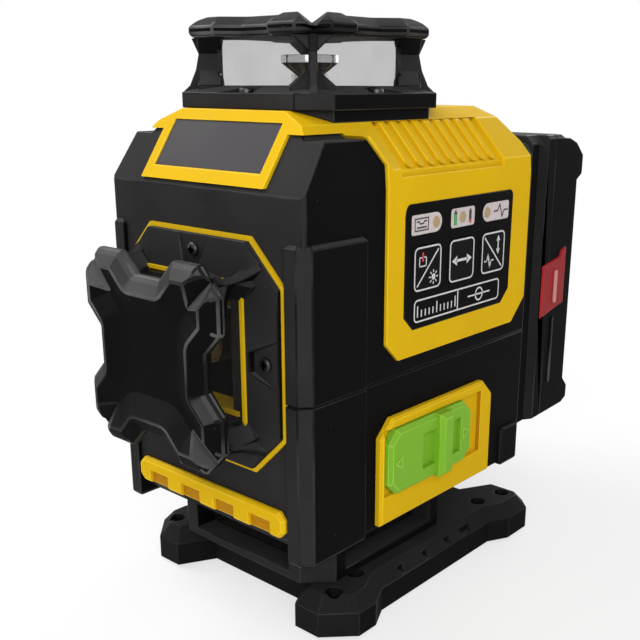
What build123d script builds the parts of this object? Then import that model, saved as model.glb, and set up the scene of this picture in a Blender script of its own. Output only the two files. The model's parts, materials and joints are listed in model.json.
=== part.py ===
"""Multi-line laser level: glazed turrets, a gimballed pendulum, a lock slider and a slide-on battery.

Millimetres, +Z up. The origin is on the floor at the mouth of the tripod thread, under the top turret.
The front turret looks along -Y, the control panel is on +X, the battery is on +Y.
"""
import os
from math import atan2, cos, degrees, radians, sin, sqrt

from build123d import *

os.makedirs("parts", exist_ok=True)

# Housing form
HALF_W = 41.4
FRONT_Y = -46.7
BACK_Y = 70.6
FLOOR_Z = 30.0
TOE = 5.5
SEAM_Z = 78.0
SLOPE_Z = 135.0
SLOPE_RUN = 14.0
TOP_Z = 155.4
TOP_LEAN = 1.75
BACK_RUN = 12.1
STEP_RUN = 6.1
STEP_DROP = 11.4
LEDGE_Z = 149.0
CREASE_Y = -20.0
SHOULDER_Z = 139.4
KNEE_X = 29.8
KNEE_Z = 152.0
CROWN_X = 21.8
FRONT_CUT = 1.0
REAR_CUT = 3.0
WALL = 2.6
SEAM_GROOVE = 0.5
SEAM_GAP = 0.5

# Corner pads and heels on the housing
PAD_PROUD = 1.4
PAD_DROP = 1.6
PAD_DEEP = 6.4
PAD_BACK_Y = -22.0
PAD_TOP_Z = 123.0
PAD_CUT = 3.2
PAD_EDGE = 1.2
HEEL_W = 10.0
HEEL_TOP_Z = 43.0

# Fits
RUN_FIT = 0.05
POST_FIT = 0.1
SLIDE_FIT = 0.3
KEY_FIT = 0.25
FUSE = 0.1
FAR = 300.0

# Yellow saddle and label plate
SKIN = 1.0
SKIN_DEPTH = 1.4
SADDLE_FRONT = -12.6
SADDLE_INSET = 5.1
SADDLE_Z = 83.0
SADDLE_LEFT_Z = 126.0
SADDLE_CUT = 6.0
SADDLE_HEEL = 8.0
FRAME_HALF = 26.5
FRAME_RISE = 1.6
LABEL_RIM = 3.6
LABEL_DROP = 2.2
LABEL_SUNK = 0.5
RIBS = 9
RIB_PITCH = 5.5
RIB_Y = -1.0
RIB_W = 2.9
RIB_Z = 141.8
RIB_SUNK = 0.3
VENT_RIM = 5.1
VENT_LIP = 3.8
VENT_DROP = 2.4
VENT_DEEP = 1.5

# Turrets
CORE_Z = 88.8
LEFT_Y = 14.0
OPEN_HALF = 17.0
GLASS = 1.4
GLASS_SUNK = 1.2
TOP_TURRET = dict(half=31.6, cut=7.8, step=4.6, base=6.5, window=13.8, pane=20.2, screw=27.0, foot=6.5)
SIDE_TURRET = dict(half=33.5, cut=12.0, step=2.3, base=4.6, window=12.0, pane=20.4, screw=29.0, foot=3.4)
PLINTH_IN = 1.6
PLINTH_H = 6.0
POST_T = 2.4
POST_D = 7.2
POST_HEAD = 6.0
POST_RISE = 4.5
POST_FLARE = 3.0
SCREW_HEAD_R = 2.1
SCREW_HEAD_H = 1.3
SCREW_SHANK_R = 1.1
SCREW_BITE = 2.2
SCREW_SEAT = 2.9
SEAT_SPREAD = 2.6
CAP_HALF = 29.5
CAP_CUT = 7.5
CAP_NOTCH = 6.0
CAP_WAIST = 5.5
CAP_FLARE = 1.0
CAP_RIM = 2.0
CAP_SHOULDER_H = 1.2
CAP_SHOULDER_IN = 1.6
CAP_ROOF_H = 1.8
CAP_ROOF_IN = 3.4
CAP_DISH_IN = 7.0
CAP_DISH_DEEP = 2.6
CAP_FORK = 7.4
CAP_FORK_Z = 0.4
GASKET_W = 1.3
GASKET_H = 0.9
SEAL_W = 1.1

# Neck with the lower turret
NECK_IN = 6.4
NECK_CUT = 8.0
NECK_PANE = 26.0
NECK_SILL = 3.0
NECK_POST = 4.0
PANE_LAP = 1.0
FLOOR_HOLE_R = 15.5

# Foot plate
FOOT_TOP = 13.5
FOOT_LIFT = 1.0
FOOT_EDGE = 9.0
FOOT_BEVEL = 4.0
FOOT_MID_Y = 16.75
FOOT_X = 47.4
FOOT_Y = 55.75
LEG_GAP = 22.0
LEG_GAP_DEEP = 12.0
LEG_IN = 28.6
LEG_CUT = 9.0
REAR_LEG_CUT = 4.5
LEG_LONG = 17.0
WAIST_IN = 4.0
WAIST_LONG = 24.8
LEG_HOLE_R = 2.75
OUTER_HOLE = (9.4, 7.8)
INNER_HOLE = (11.8, 20.5)
NOTCH_Y = (-2.5, 10.8, 23.6, 34.5)
NOTCH_HALF = (2.0, 2.0, 2.0, 4.4)
NOTCH_DEEP = 4.1
NOTCH_IN = 6.4
PAD_R = 3.6
PAD_SUNK = 1.5
PAD_AT = (6.4, 15.0)
FOOT_SCREW_R = 1.5
FOOT_SCREW_HEAD_R = 3.0
FOOT_SCREW_HEAD_H = 2.4
FOOT_SCREW_BITE = 6.5
FOOT_SCREW_IN = 2.0
THREAD_R = 2.55
THREAD_DEEP = 9.0
INSERT_R = 8.0
INSERT_H = 11.0

# Control panel
PANEL_FRONT = -4.6
PANEL_W = 58.7
PANEL_DROP = 18.6
PANEL_H = 38.5
PANEL_T = 1.0
PANEL_SUNK = 0.8
PANEL_CUT = 4.5
PANEL_R = 2.4
KEY_W = 14.0
KEY_H = 13.9
KEY_R = 2.0
KEY_LEN = 4.75
KEY_PROUD = 0.35
KEY_BEVEL = 0.3
KEY_TRAVEL = 0.7
KEY_MID_Y = 24.4
KEY_PITCH = 18.25
KEY_Z = 110.0
STEM_R = 2.2
STEM_H = 0.1
KEY_REST = 0.1
SWITCH_R = 3.4
SWITCH_H = 1.1
LED_PITCH = 14.1
LED_RISE = 13.5
LED_R = 1.75
LED_PROUD = 0.2
BOARD_T = 1.6
BOARD_OVER = 12.55
BOARD_DROP = 15.0
BOARD_RISE = 7.1
BOARD_MARGIN = 3.0
BOARD_BOSS_R = 2.0

# Lock bezel, slider and cam
BEZEL_FRONT = -16.0
BEZEL_W = 61.0
BEZEL_RISE = 1.2
BEZEL_H = 34.6
BEZEL_T = 2.6
BEZEL_CUT = 5.5
BEZEL_EDGE = 0.8
BEZEL_FLOOR = 1.0
SLIDER_IN = 1.8
SLIDER_UP = 9.8
SLIDER_W = 43.8
SLIDER_H = 21.4
SLIDER_T = 3.6
SLIDER_CUT = 4.0
SLIDER_EDGE = 1.2
SLIDER_GAP = 0.2
LOCK_TRAVEL = 8.0
RIDGE_OFF = 5.0
RIDGE_W = 6.8
RIDGE_RISE = 2.6
RIDGE_EDGE = 1.4
SCOOP_W = 7.0
SCOOP_H = 12.0
SCOOP_DEEP = 1.7
CAM_IN = 0.2
CAM_NECK = 8.0
CAM_NECK_UP = 6.0
CAM_W = 7.1
CAM_WEB = 2.0
CAM_BACK = 4.2
CAM_TAIL = 6.0
CAM_FLOOR = 0.6
CAM_GAP = 0.4
CAM_RAMP_H = 2.4

# Pendulum, gimbal and brake
PIVOT_Z = 125.0
COLUMN = 9.0
COLUMN_TOP = 12.0
COLUMN_LOW = 68.0
BALANCE_W = 18.97
BALANCE_H = 12.0
BALANCE_Y = (-2.88, 22.32)
BARREL_R = 6.0
TUBE_R = 5.8
TUBE_WALL = 1.0
TUBE_LEN = 7.5
CONE_R = 9.0
CONE_H = 6.2
CONE_DISC = 2.4
CONE_TIP = 0.6
TOP_BARREL = 2.6
SIDE_BARREL = 1.5
NECK_BARREL = 2.0
RING_OUT = 19.5
RING_IN = 15.5
RING_H = 8.0
PIN_R = 1.2
BEARING_R = 3.0
BRACKET_DROP = 6.4
BRACKET_T = 3.0
BRACKET_HALF = (26.0, 16.0)
BRACKET_HOLE = (15.0, 12.0)
BRACKET_LEG = 4.0
BRACKET_LEG_W = 10.0
BRACKET_LEG_GAP = 1.5
BRACKET_BOSS = (19.5, 14.0)
BRACKET_BOSS_R = 3.0
BRAKE_Z = 36.0
BRAKE_R = 23.0
BRAKE_BORE = 15.5
BRAKE_H = 8.0
BRAKE_GAP = 2.7
BRAKE_TAB = 3.2
BRAKE_TAB_W = 6.0
BRAKE_TAB_GAP = 0.6
BRAKE_EAR = 8.0
BRAKE_POST_Y = 27.0
BRAKE_POST_R = 2.0
BRAKE_POST_H = 6.0
DOME_UP = 5.0
DOME_HALF = 22.0

# Battery and dock
PACK_GAP = 0.4
PACK_DEPTH = 30.2
PACK_FRONT = 13.0
PACK_LOW = 40.0
PACK_TOP = 146.4
PACK_WALL = 2.2
PACK_FLOOR = 3.6
PACK_LIP = 4.6
PACK_STEP = 18.0
PACK_LIP_LOW = (1.4, 3.6, 6.8, 11.6)
PACK_LIP_TOP = (17.0, 15.0, 9.0, 3.4, 1.5)
PACK_EDGE = 1.2
PACK_BROW = 5.0
PACK_NECK = 2.2
PACK_NECK_RUN = 4.5
PACK_NECK_END = 7.6
PACK_ROOF = 6.4
DOCK_HALF = 34.0
DOCK_Z = (51.0, 115.0)
RAIL_X = 26.0
RAIL_Z = (59.0, 109.0)
RAIL_STEM = 4.0
RAIL_STEM_H = 4.2
RAIL_HEAD = 9.0
RAIL_HEAD_H = 2.4
CONTACT_HALF = 14.0
CONTACT_H = 10.0
CONTACT_D = 6.4
CONTACT_PITCH = 7.0
BLADE_T = 1.0
BLADE_W = 3.6
BLADE_H = 14.0
BLADE_GAP = 1.0
BLADE_UP = 6.0
CLIP_W = 4.0
CLIP_T = 1.6
CLIP_H = 10.0
CLIP_GAP = 0.8
DOCK_POST_R = 2.4
DOCK_POST_IN = 4.0
MAIN_BOARD_IN = 14.4
MAIN_BOARD_Z = (57.0, 127.0)
MAIN_BOARD_GAP = 4.4
CELL_SIDE = 2.2
CELL_SPLIT = 0.05
CELL_H = 65.0
CELLS = 4
CELL_GAP = 0.4
CRADLE_H = 10.0
STRAP_W = 6.0
STRAP_END = 4.0
CHARGE_HALF = 30.0
TAB_T = 0.4
LATCH_IN = 8.0
LATCH_W = 16.5
LATCH_LOW = 80.0
LATCH_H = 19.6
LATCH_SLANT = 3.6
LATCH_HOOK = ((12.0, 2.0), (13.6, 4.4), (16.5, 5.4))
LATCH_PROUD = 0.8
LATCH_T = 2.7
LATCH_WELL = 6.0
LATCH_EDGE = 0.5

# Bumper bar and housing screws
BAR_IN = 7.4
BAR_RISE = 0.4
BAR_H = 8.5
BAR_CUT = 2.3
BAR_T = 2.2
BAR_EDGE = 0.9
POCKETS = 4
POCKET_PITCH = 15.8
POCKET_HALF = 4.6
POCKET_H = 4.6
POCKET_DEEP = 1.4
BOSS_R = 4.0
BOSS_IN = (8.4, 9.2, 11.1)
BOSS_OVER = 12.0
BOSS_WEB = 2.4
BOSS_FOOT = 1.0
HOUSING_SCREW_R = 1.5
HOUSING_HEAD_R = 3.0
HOUSING_HEAD_H = 2.4
HEAD_SUNK = 0.6
HEAD_FIT = 0.2
SCREW_SHORT = 2.0


def block(x, y, z):
    """Box from three (low, high) pairs."""
    size = [b - a for a, b in (x, y, z)]
    mid = [(a + b) / 2 for a, b in (x, y, z)]
    return Pos(*mid) * Box(*size)


def spread(half):
    return (-half, half)


def flipped(span):
    return (-span[1], -span[0])


def on_side(sign, span):
    """Span on the right side, or its mirror image on the left."""
    return span if sign > 0 else flipped(span)


def poly(*pts):
    return Polygon(*pts, align=None)


def slab_xy(face, low, high):
    return extrude(Pos(0, 0, low) * face, amount=high - low, dir=(0, 0, 1))


def slab_yz(face, low, high):
    plane = Plane((low, 0, 0), x_dir=(0, 1, 0), z_dir=(1, 0, 0))
    return extrude(plane * face, amount=high - low, dir=(1, 0, 0))


def slab_xz(face, low, high):
    plane = Plane((0, high, 0), x_dir=(1, 0, 0), z_dir=(0, -1, 0))
    return extrude(plane * face, amount=high - low, dir=(0, -1, 0))


def roof(face, rise, inset):
    """Layer on a level face that draws in by inset as it rises."""
    return extrude(face, amount=rise, dir=(0, 0, 1), taper=degrees(atan2(inset, rise)))


def grown(face, amount):
    return face if amount == 0 else offset(face, amount, kind=Kind.INTERSECTION)


def rod(radius, start, end):
    """Round bar between two points."""
    a, b = Vector(*start), Vector(*end)
    foot = (Align.CENTER, Align.CENTER, Align.MIN)
    return Plane(a, z_dir=(b - a).normalized()) * Cylinder(radius, (b - a).length, align=foot)


def both(shape):
    return [shape, mirror(shape, Plane.YZ)]


def group(shapes):
    return Compound(children=[s for shape in shapes for s in shape.solids()])


def mirrored(half):
    """Closed outline from its right half, listed from one end to the other."""
    return poly(*half, *[(-x, y) for x, y in reversed(half)])


def four_sided(side):
    """Closed outline from its right-hand side, turned about the centre in quarter turns."""
    pts = []
    for turn in range(4):
        for x, y in side:
            for _ in range(turn):
                x, y = -y, x
            pts.append((x, y))
    return poly(*pts)


def octagon(half, cut):
    return four_sided([(half, cut - half), (half, half - cut)])


def square(half):
    return four_sided([(half, half)])


def past(a, b):
    """Point well beyond b on the line from a."""
    return (3 * b[0] - 2 * a[0], 3 * b[1] - 2 * a[1])


# Housing form at any offset from its black skin
def envelope(grow):
    step_z = TOP_Z - STEP_DROP
    side = poly((FRONT_Y + TOE, FLOOR_Z), (FRONT_Y, FLOOR_Z + TOE), (FRONT_Y, SLOPE_Z),
                (FRONT_Y + SLOPE_RUN, TOP_Z), (BACK_Y - BACK_RUN, TOP_Z), (BACK_Y - STEP_RUN, step_z),
                (BACK_Y, step_z), (BACK_Y, FLOOR_Z))
    front = mirrored([(HALF_W, FLOOR_Z), (HALF_W, SLOPE_Z), (HALF_W - TOP_LEAN, TOP_Z)])
    plan = mirrored([(HALF_W - FRONT_CUT, FRONT_Y), (HALF_W, FRONT_Y + FRONT_CUT),
                     (HALF_W, BACK_Y - REAR_CUT), (HALF_W - REAR_CUT, BACK_Y)])
    solid = slab_yz(grown(side, grow), -FAR, FAR) & slab_xz(grown(front, grow), -FAR, FAR)
    solid = solid & slab_xy(grown(plan, grow), 0, FAR)
    knee = (KNEE_X, KNEE_Z)
    low = past(knee, (HALF_W, SHOULDER_Z))
    high = past(knee, (CROWN_X, TOP_Z))
    slant = grown(poly(low, knee, high, (low[0], high[1])), -grow)
    ledge = LEDGE_Z + grow
    crease = CREASE_Y + LEDGE_Z + grow * sqrt(2)
    behind = poly((crease - SEAM_Z, SEAM_Z), (crease - ledge, ledge), (-FAR, ledge), (-FAR, FAR),
                  (FAR, FAR), (FAR, SEAM_Z))
    for cutter in both(slab_xz(slant, -FAR, FAR) & slab_yz(behind, 0, FAR)):
        solid = solid - cutter
    return solid


def skin(outer, inner):
    return envelope(outer) - envelope(inner)


# Turret with its base plane at z = 0, growing along +Z
def turret_panes(base, window, pane, **_):
    reach = pane - POST_T / 2 - GLASS / 2
    sheet = block((pane, pane + GLASS), spread(reach), (base - GLASS_SUNK, base + window))
    return [Rot(0, 0, 90 * turn) * sheet for turn in range(4)]


def turret_frame(half, cut, step, base, window, pane, foot, **_):
    """Stepped base with a light shaft, a pocket round each screw and a flared post at each corner."""
    sill = pane + GLASS + GLASS_SUNK
    top = base + window
    plan = octagon(half, cut)
    body = slab_xy(plan, 0, step) + roof(Pos(0, 0, step) * plan, base - step, half - sill)
    body = body - block(spread(OPEN_HALF), spread(OPEN_HALF), (-1, base + 1))
    corner = (2 * half - cut) / sqrt(2)
    inner = (pane - POST_T / 2) * sqrt(2)
    waist = inner + POST_D
    flare = min(corner, waist + POST_FLARE)
    blade = poly((inner, step), (corner, step), (flare, base), (waist + POST_FLARE / 3, base + window / 3),
                 (waist, base + window * 2 / 3), (waist + POST_FLARE * 2 / 3, top), (inner, top))
    slim = POST_T / 2
    toe = poly((-foot, step), (foot, step), (foot, base), (slim, base + POST_RISE), (-slim, base + POST_RISE),
               (-foot, base))
    head = poly((-POST_HEAD, top), (-slim, top - POST_RISE), (slim, top - POST_RISE), (POST_HEAD, top))
    for turn in range(4):
        angle = radians(45 + 90 * turn)
        out = (cos(angle), sin(angle), 0)
        upright = Plane((0, 0, 0), x_dir=out, z_dir=(out[1], -out[0], 0))
        across = Plane(Vector(*out) * inner, x_dir=(-out[1], out[0], 0), z_dir=out)
        body = body + extrude(upright * blade, amount=slim, both=True)
        body = body + extrude(across * toe, amount=POST_D) + extrude(across * head, amount=POST_D)
    for sheet in turret_panes(base, window, pane):
        body = body - sheet
    mouth = SCREW_SEAT * SEAT_SPREAD
    seat = poly((half + 1, -mouth), (half + 1, mouth), (sill + 1, SCREW_SEAT), (sill + 1, -SCREW_SEAT))
    for turn in range(4):
        body = body - Rot(0, 0, 90 * turn) * slab_xy(seat, step, top)
    return body


def turret_screws(step, screw, **_):
    head = rod(SCREW_HEAD_R, (screw, 0, step), (screw, 0, step + SCREW_HEAD_H))
    shank = rod(SCREW_SHANK_R, (screw, 0, -SCREW_BITE), (screw, 0, step))
    return [Rot(0, 0, 90 * turn) * (head + shank) for turn in range(4)]


def turret_cap():
    """X-shaped guard: a ridge along each side slopes to a sunk middle, with a fork down each arm."""
    deep = CAP_HALF - CAP_NOTCH
    wide = CAP_WAIST + CAP_NOTCH
    tip = CAP_HALF - CAP_CUT
    outline = four_sided([(CAP_HALF, -tip), (CAP_HALF, -wide), (deep, -CAP_WAIST), (deep, CAP_WAIST),
                          (CAP_HALF, wide), (CAP_HALF, tip)])
    rim_z = CAP_FLARE + CAP_RIM
    top = rim_z + CAP_SHOULDER_H + CAP_ROOF_H
    lip = extrude(Pos(0, 0, CAP_FLARE) * outline, amount=CAP_FLARE, dir=(0, 0, -1), taper=45)
    shoulder = roof(Pos(0, 0, rim_z) * outline, CAP_SHOULDER_H, CAP_SHOULDER_IN)
    crown = roof(shoulder.faces().sort_by(Axis.Z)[-1], CAP_ROOF_H, CAP_ROOF_IN)
    ridge = crown.faces().sort_by(Axis.Z)[-1]
    slope = degrees(atan2(CAP_DISH_IN, CAP_DISH_DEEP))
    dish = extrude(ridge, amount=CAP_DISH_DEEP, dir=(0, 0, -1), taper=slope)
    cap = lip + slab_xy(outline, CAP_FLARE, rim_z) + shoulder + crown - dish
    over = top + CAP_FLARE
    fork = poly((-CAP_FORK, over), (0, CAP_FORK_Z), (CAP_FORK, over))
    for turn in range(4):
        angle = radians(45 + 90 * turn)
        out = Vector(cos(angle), sin(angle), 0)
        end = Plane(out * CAP_HALF * 1.5, x_dir=(-out.Y, out.X, 0), z_dir=out) * fork
        cap = cap - loft([Vertex(0, 0, over), end], ruled=True)
    return cap


def place_front(shape):
    return Pos(0, FRONT_Y, CORE_Z) * Rot(90, 0, 0) * shape


def place_left(shape):
    return Pos(-HALF_W, LEFT_Y, CORE_Z) * Rot(0, -90, 0) * shape


def place_top(shape):
    return Pos(0, 0, TOP_Z + SKIN) * shape


# Laser module along +Z from the foot of its barrel
def laser_module(barrel):
    top = barrel + TUBE_LEN
    sunk = CONE_H * (TUBE_R - TUBE_WALL - CONE_TIP) / (CONE_R - CONE_TIP)
    disc = top - sunk + CONE_H
    body = rod(BARREL_R, (0, 0, 0), (0, 0, barrel))
    clear = rod(TUBE_R, (0, 0, barrel), (0, 0, top)) - rod(TUBE_R - TUBE_WALL, (0, 0, 0), (0, 0, top + 1))
    foot = (Align.CENTER, Align.CENTER, Align.MIN)
    cone = Pos(0, 0, top - sunk) * Cone(CONE_TIP, CONE_R, CONE_H, align=foot)
    return body, clear, cone + rod(CONE_R, (0, 0, disc), (0, 0, disc + CONE_DISC))


parts = {}
black = envelope(0)
cavity = envelope(-WALL)
face_x = HALF_W + SKIN
wall_x = HALF_W - WALL

# Yellow saddle and label plate
saddle_back = BACK_Y - SADDLE_INSET
crease = CREASE_Y + LEDGE_Z
lip_z = LEDGE_Z + SKIN_DEPTH
label_low = SLOPE_Z + FRAME_RISE


def flank(low, x):
    """One side of the saddle, with its low corners cut and its front edge leaning back to the ledge."""
    face = poly((SADDLE_FRONT + SADDLE_CUT, low), (saddle_back - SADDLE_HEEL, low),
                (saddle_back, low + SADDLE_HEEL), (saddle_back, FAR), (-FAR, FAR), (-FAR, lip_z),
                (crease - lip_z, lip_z), (SADDLE_FRONT, crease - SADDLE_FRONT),
                (SADDLE_FRONT, low + SADDLE_CUT))
    return slab_yz(face, *x)


brow = block(spread(FRAME_HALF), (-FAR, CREASE_Y), (label_low, FAR))
whole = skin(SKIN, -SKIN_DEPTH) & (flank(SADDLE_Z, (-1, FAR)) + flank(SADDLE_LEFT_Z, (-FAR, 1)) + brow)
label_z = (label_low + LABEL_RIM, TOP_Z - LABEL_DROP)
label_box = block(spread(FRAME_HALF - LABEL_RIM), (-FAR, CREASE_Y), label_z)
parts["label_plate"] = skin(SKIN - LABEL_SUNK, -SKIN_DEPTH) & label_box
shaft = block(spread(OPEN_HALF), spread(OPEN_HALF), (TOP_Z - 2 * WALL, FAR))
saddle = whole - label_box - shaft
vent_y = (RIB_Y - VENT_RIM, RIB_Y + (RIBS - 1) * RIB_PITCH + VENT_RIM)
vent_z = (RIB_Z - VENT_LIP, TOP_Z - VENT_DROP)
vent_skin = skin(SKIN + 1, SKIN - VENT_DEEP)
rib_skin = skin(SKIN - RIB_SUNK, SKIN - VENT_DEEP)
for sign in (1, -1):
    side = on_side(sign, (0, FAR))
    saddle = saddle - (vent_skin & block(side, vent_y, vent_z))
    for k in range(RIBS):
        y = RIB_Y + k * RIB_PITCH
        strip = Pos(y, (RIB_Z + vent_z[1]) / 2) * Rectangle(RIB_W, vent_z[1] - RIB_Z)
        strip = strip + Pos(y, RIB_Z) * Circle(RIB_W / 2)
        saddle = saddle + (rib_skin & slab_yz(strip, *side))

# Housing shell with corner pads, heels and a seam groove
shell = black - cavity - whole - shaft
pad_z = FLOOR_Z - PAD_DROP
for sign in (1, -1):
    x = on_side(sign, (HALF_W - PAD_DEEP, HALF_W + PAD_PROUD))
    pad = block(x, (FRONT_Y - PAD_PROUD, PAD_BACK_Y), (pad_z, PAD_TOP_Z))
    arris = min(pad.edges().filter_by(Axis.Z), key=lambda e: e.center().Y - abs(e.center().X))
    pad = chamfer(arris, PAD_CUT)
    rims = pad.edges().group_by(Axis.Z)
    pad = chamfer(rims[0] + rims[-1], PAD_EDGE)
    heel = block(x, (saddle_back - HEEL_W, saddle_back), (pad_z, HEEL_TOP_Z))
    heel = chamfer(heel.edges().group_by(Axis.Z)[0], PAD_EDGE)
    shell = shell + ((pad + heel) - envelope(-FUSE))
groove = block(spread(FAR), spread(FAR), (SEAM_Z - SEAM_GAP / 2, SEAM_Z + SEAM_GAP / 2))
shell = shell - (skin(2 * PAD_PROUD, -SEAM_GROOVE) & groove)

# Turrets, guards and panes
side_frame = turret_frame(**SIDE_TURRET)
side_plan = octagon(SIDE_TURRET["half"], SIDE_TURRET["cut"])
plinth = slab_xy(octagon(TOP_TURRET["half"] - PLINTH_IN, TOP_TURRET["cut"]), -PLINTH_H, 0)
plinth = plinth - block(spread(OPEN_HALF), spread(OPEN_HALF), (-FAR, FAR))
frames = {
    "top_turret_frame": place_top(turret_frame(**TOP_TURRET) + plinth) - envelope(SKIN),
    "front_turret_bezel": place_front(side_frame),
    "left_turret_bezel": place_left(side_frame),
}
screws = [place_top(s) for s in turret_screws(**TOP_TURRET)]
mouth = block(spread(OPEN_HALF), spread(OPEN_HALF), (-2 * WALL, 1))
for place in (place_front, place_left):
    screws += [place(s) for s in turret_screws(**SIDE_TURRET)]
    footprint = place(slab_xy(grown(side_plan, GASKET_W), 0, FAR))
    shell = shell - place(mouth) - footprint
    saddle = saddle - footprint
shell = shell - rod(FLOOR_HOLE_R, (0, 0, 0), (0, 0, FLOOR_Z + 2 * WALL))
for screw in screws:
    frames = {name: frame - screw for name, frame in frames.items()}
    saddle = saddle - screw
    shell = shell - screw
parts.update(frames)
cap = turret_cap()
top_cap = Pos(0, 0, TOP_TURRET["base"] + TOP_TURRET["window"]) * cap
side_cap = Pos(0, 0, SIDE_TURRET["base"] + SIDE_TURRET["window"]) * cap
gasket = slab_xy(grown(side_plan, GASKET_W), 0, GASKET_H) - slab_xy(side_plan, -1, GASKET_H + 1)
sill = SIDE_TURRET["base"]
glass_out = SIDE_TURRET["pane"] + GLASS
seal = slab_xy(square(glass_out + SEAL_W), sill, sill + GASKET_H)
seal = seal - slab_xy(square(glass_out), 0, FAR) - side_frame
side_panes = turret_panes(**SIDE_TURRET)
parts["top_turret_guard"] = place_top(top_cap)
parts["front_turret_guard"] = place_front(side_cap)
parts["left_turret_guard"] = place_left(side_cap)
parts["top_window_panes"] = group([place_top(s) for s in turret_panes(**TOP_TURRET)])
parts["side_window_panes"] = group([place(s) for place in (place_front, place_left) for s in side_panes])
parts["turret_gaskets"] = group([place_front(gasket), place_left(gasket)])
parts["window_seals"] = group([place_front(seal), place_left(seal)])
parts["turret_screws"] = group(screws)

# Neck with the lower turret
view_z = (FOOT_TOP + NECK_SILL, FLOOR_Z - NECK_SILL)
pane_z = (view_z[0] - PANE_LAP, view_z[1] + PANE_LAP)
view_half = NECK_PANE - NECK_POST
neck_half = HALF_W - NECK_IN
neck = slab_xy(octagon(neck_half, NECK_CUT), FOOT_TOP, FLOOR_Z) - slab_xy(square(NECK_PANE), 0, FAR)
view = block((NECK_PANE - 1, neck_half + 1), spread(view_half), view_z)
sheet = block((NECK_PANE, NECK_PANE + GLASS), spread(view_half + PANE_LAP), pane_z)
for turn in range(4):
    neck = neck - Rot(0, 0, 90 * turn) * (view + sheet)
parts["neck_window_panes"] = group([Rot(0, 0, 90 * turn) * sheet for turn in range(4)])

# Foot plate with its insert, rubber feet and screws
def leg(cut):
    return [(LEG_GAP, FOOT_Y - LEG_GAP_DEEP), (LEG_IN, FOOT_Y), (FOOT_X - cut, FOOT_Y),
            (FOOT_X, FOOT_Y - cut), (FOOT_X, FOOT_Y - LEG_LONG), (FOOT_X - WAIST_IN, FOOT_Y - WAIST_LONG)]


outline = mirrored(leg(REAR_LEG_CUT) + [(x, -y) for x, y in reversed(leg(LEG_CUT))])
foot = Pos(0, FOOT_MID_Y, 0) * slab_xy(outline, FOOT_LIFT, FOOT_TOP)
foot = chamfer(foot.edges().group_by(Axis.Z)[-1], FOOT_TOP - FOOT_EDGE, FOOT_BEVEL)
insert = rod(INSERT_R, (0, 0, 0), (0, 0, INSERT_H))
foot = foot - insert
pads = []
foot_screws = []
corner = NECK_PANE + FOOT_SCREW_IN
head_z = FOOT_LIFT + HEAD_SUNK
seat_z = head_z + FOOT_SCREW_HEAD_H
for sx in (1, -1):
    for sy in (1, -1):
        for inx, iny in (OUTER_HOLE, INNER_HOLE):
            at = (sx * (FOOT_X - inx), FOOT_MID_Y + sy * (FOOT_Y - iny))
            foot = foot - rod(LEG_HOLE_R, (*at, 0), (*at, FAR))
        at = (sx * (FOOT_X - PAD_AT[0]), FOOT_MID_Y + sy * (FOOT_Y - PAD_AT[1]))
        pads.append(rod(PAD_R, (*at, 0), (*at, FOOT_LIFT + PAD_SUNK)))
        at = (sx * corner, sy * corner)
        shank = rod(FOOT_SCREW_R, (*at, seat_z), (*at, FOOT_TOP + FOOT_SCREW_BITE))
        foot_screws.append(rod(FOOT_SCREW_HEAD_R, (*at, head_z), (*at, seat_z)) + shank)
        foot = foot - rod(FOOT_SCREW_HEAD_R + HEAD_FIT, (*at, 0), (*at, seat_z))
    for y, half in zip(NOTCH_Y, NOTCH_HALF):
        low = FOOT_TOP - NOTCH_DEEP
        tooth = poly((y - half, FOOT_TOP), (y - half / 2, low), (y + half / 2, low), (y + half, FOOT_TOP))
        foot = foot - slab_yz(tooth, *on_side(sx, (FOOT_X - NOTCH_IN, FAR)))
for item in pads + foot_screws:
    foot = foot - item
    neck = neck - item
parts["foot_plate"] = foot
parts["neck_turret"] = neck
parts["tripod_insert"] = insert - rod(THREAD_R, (0, 0, -1), (0, 0, THREAD_DEEP))
parts["rubber_feet"] = group(pads)
parts["foot_screws"] = group(foot_screws)

# Control panel, keys and indicators
panel_x = face_x - PANEL_SUNK
panel_back = PANEL_FRONT + PANEL_W
panel_low = KEY_Z - PANEL_DROP
panel_top = panel_low + PANEL_H
panel_face = poly((PANEL_FRONT + PANEL_CUT, panel_low), (panel_back - PANEL_CUT, panel_low),
                  (panel_back, panel_low + PANEL_CUT), (panel_back, panel_top), (PANEL_FRONT, panel_top),
                  (PANEL_FRONT, panel_low + PANEL_CUT))
panel_face = fillet(panel_face.vertices().group_by(Axis.Y)[-1], PANEL_R)
panel = slab_yz(panel_face, panel_x, panel_x + PANEL_T)
saddle = saddle - slab_yz(panel_face, panel_x, FAR)
key_top = panel_x + PANEL_T + KEY_PROUD
key_in = key_top - KEY_LEN
switch_x = key_in - STEM_H - KEY_TRAVEL - KEY_REST
board_x = switch_x - SWITCH_H
key_spots = [KEY_MID_Y + KEY_PITCH * k for k in (-1, 0, 1)]
for name, y in zip(("key_power", "key_horizontal", "key_vertical"), key_spots):
    face = Pos(y, KEY_Z) * RectangleRounded(KEY_W, KEY_H, KEY_R)
    hole = Pos(y, KEY_Z) * RectangleRounded(KEY_W + 2 * KEY_FIT, KEY_H + 2 * KEY_FIT, KEY_R + KEY_FIT)
    key = slab_yz(face, key_in, key_top)
    key = chamfer(key.edges().group_by(Axis.X)[-1], KEY_BEVEL)
    parts[name] = key + rod(STEM_R, (key_in - STEM_H, y, KEY_Z), (key_in, y, KEY_Z))
    slot = slab_yz(hole, board_x, FAR)
    panel = panel - slot
    saddle = saddle - slot
    shell = shell - slot
light_z = KEY_Z + LED_RISE
lights = []
for k in (-1, 0, 1):
    y = KEY_MID_Y + LED_PITCH * k
    light = rod(LED_R, (board_x, y, light_z), (face_x + LED_PROUD, y, light_z))
    lights.append(light)
    panel = panel - light
    saddle = saddle - light
    shell = shell - light
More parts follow.
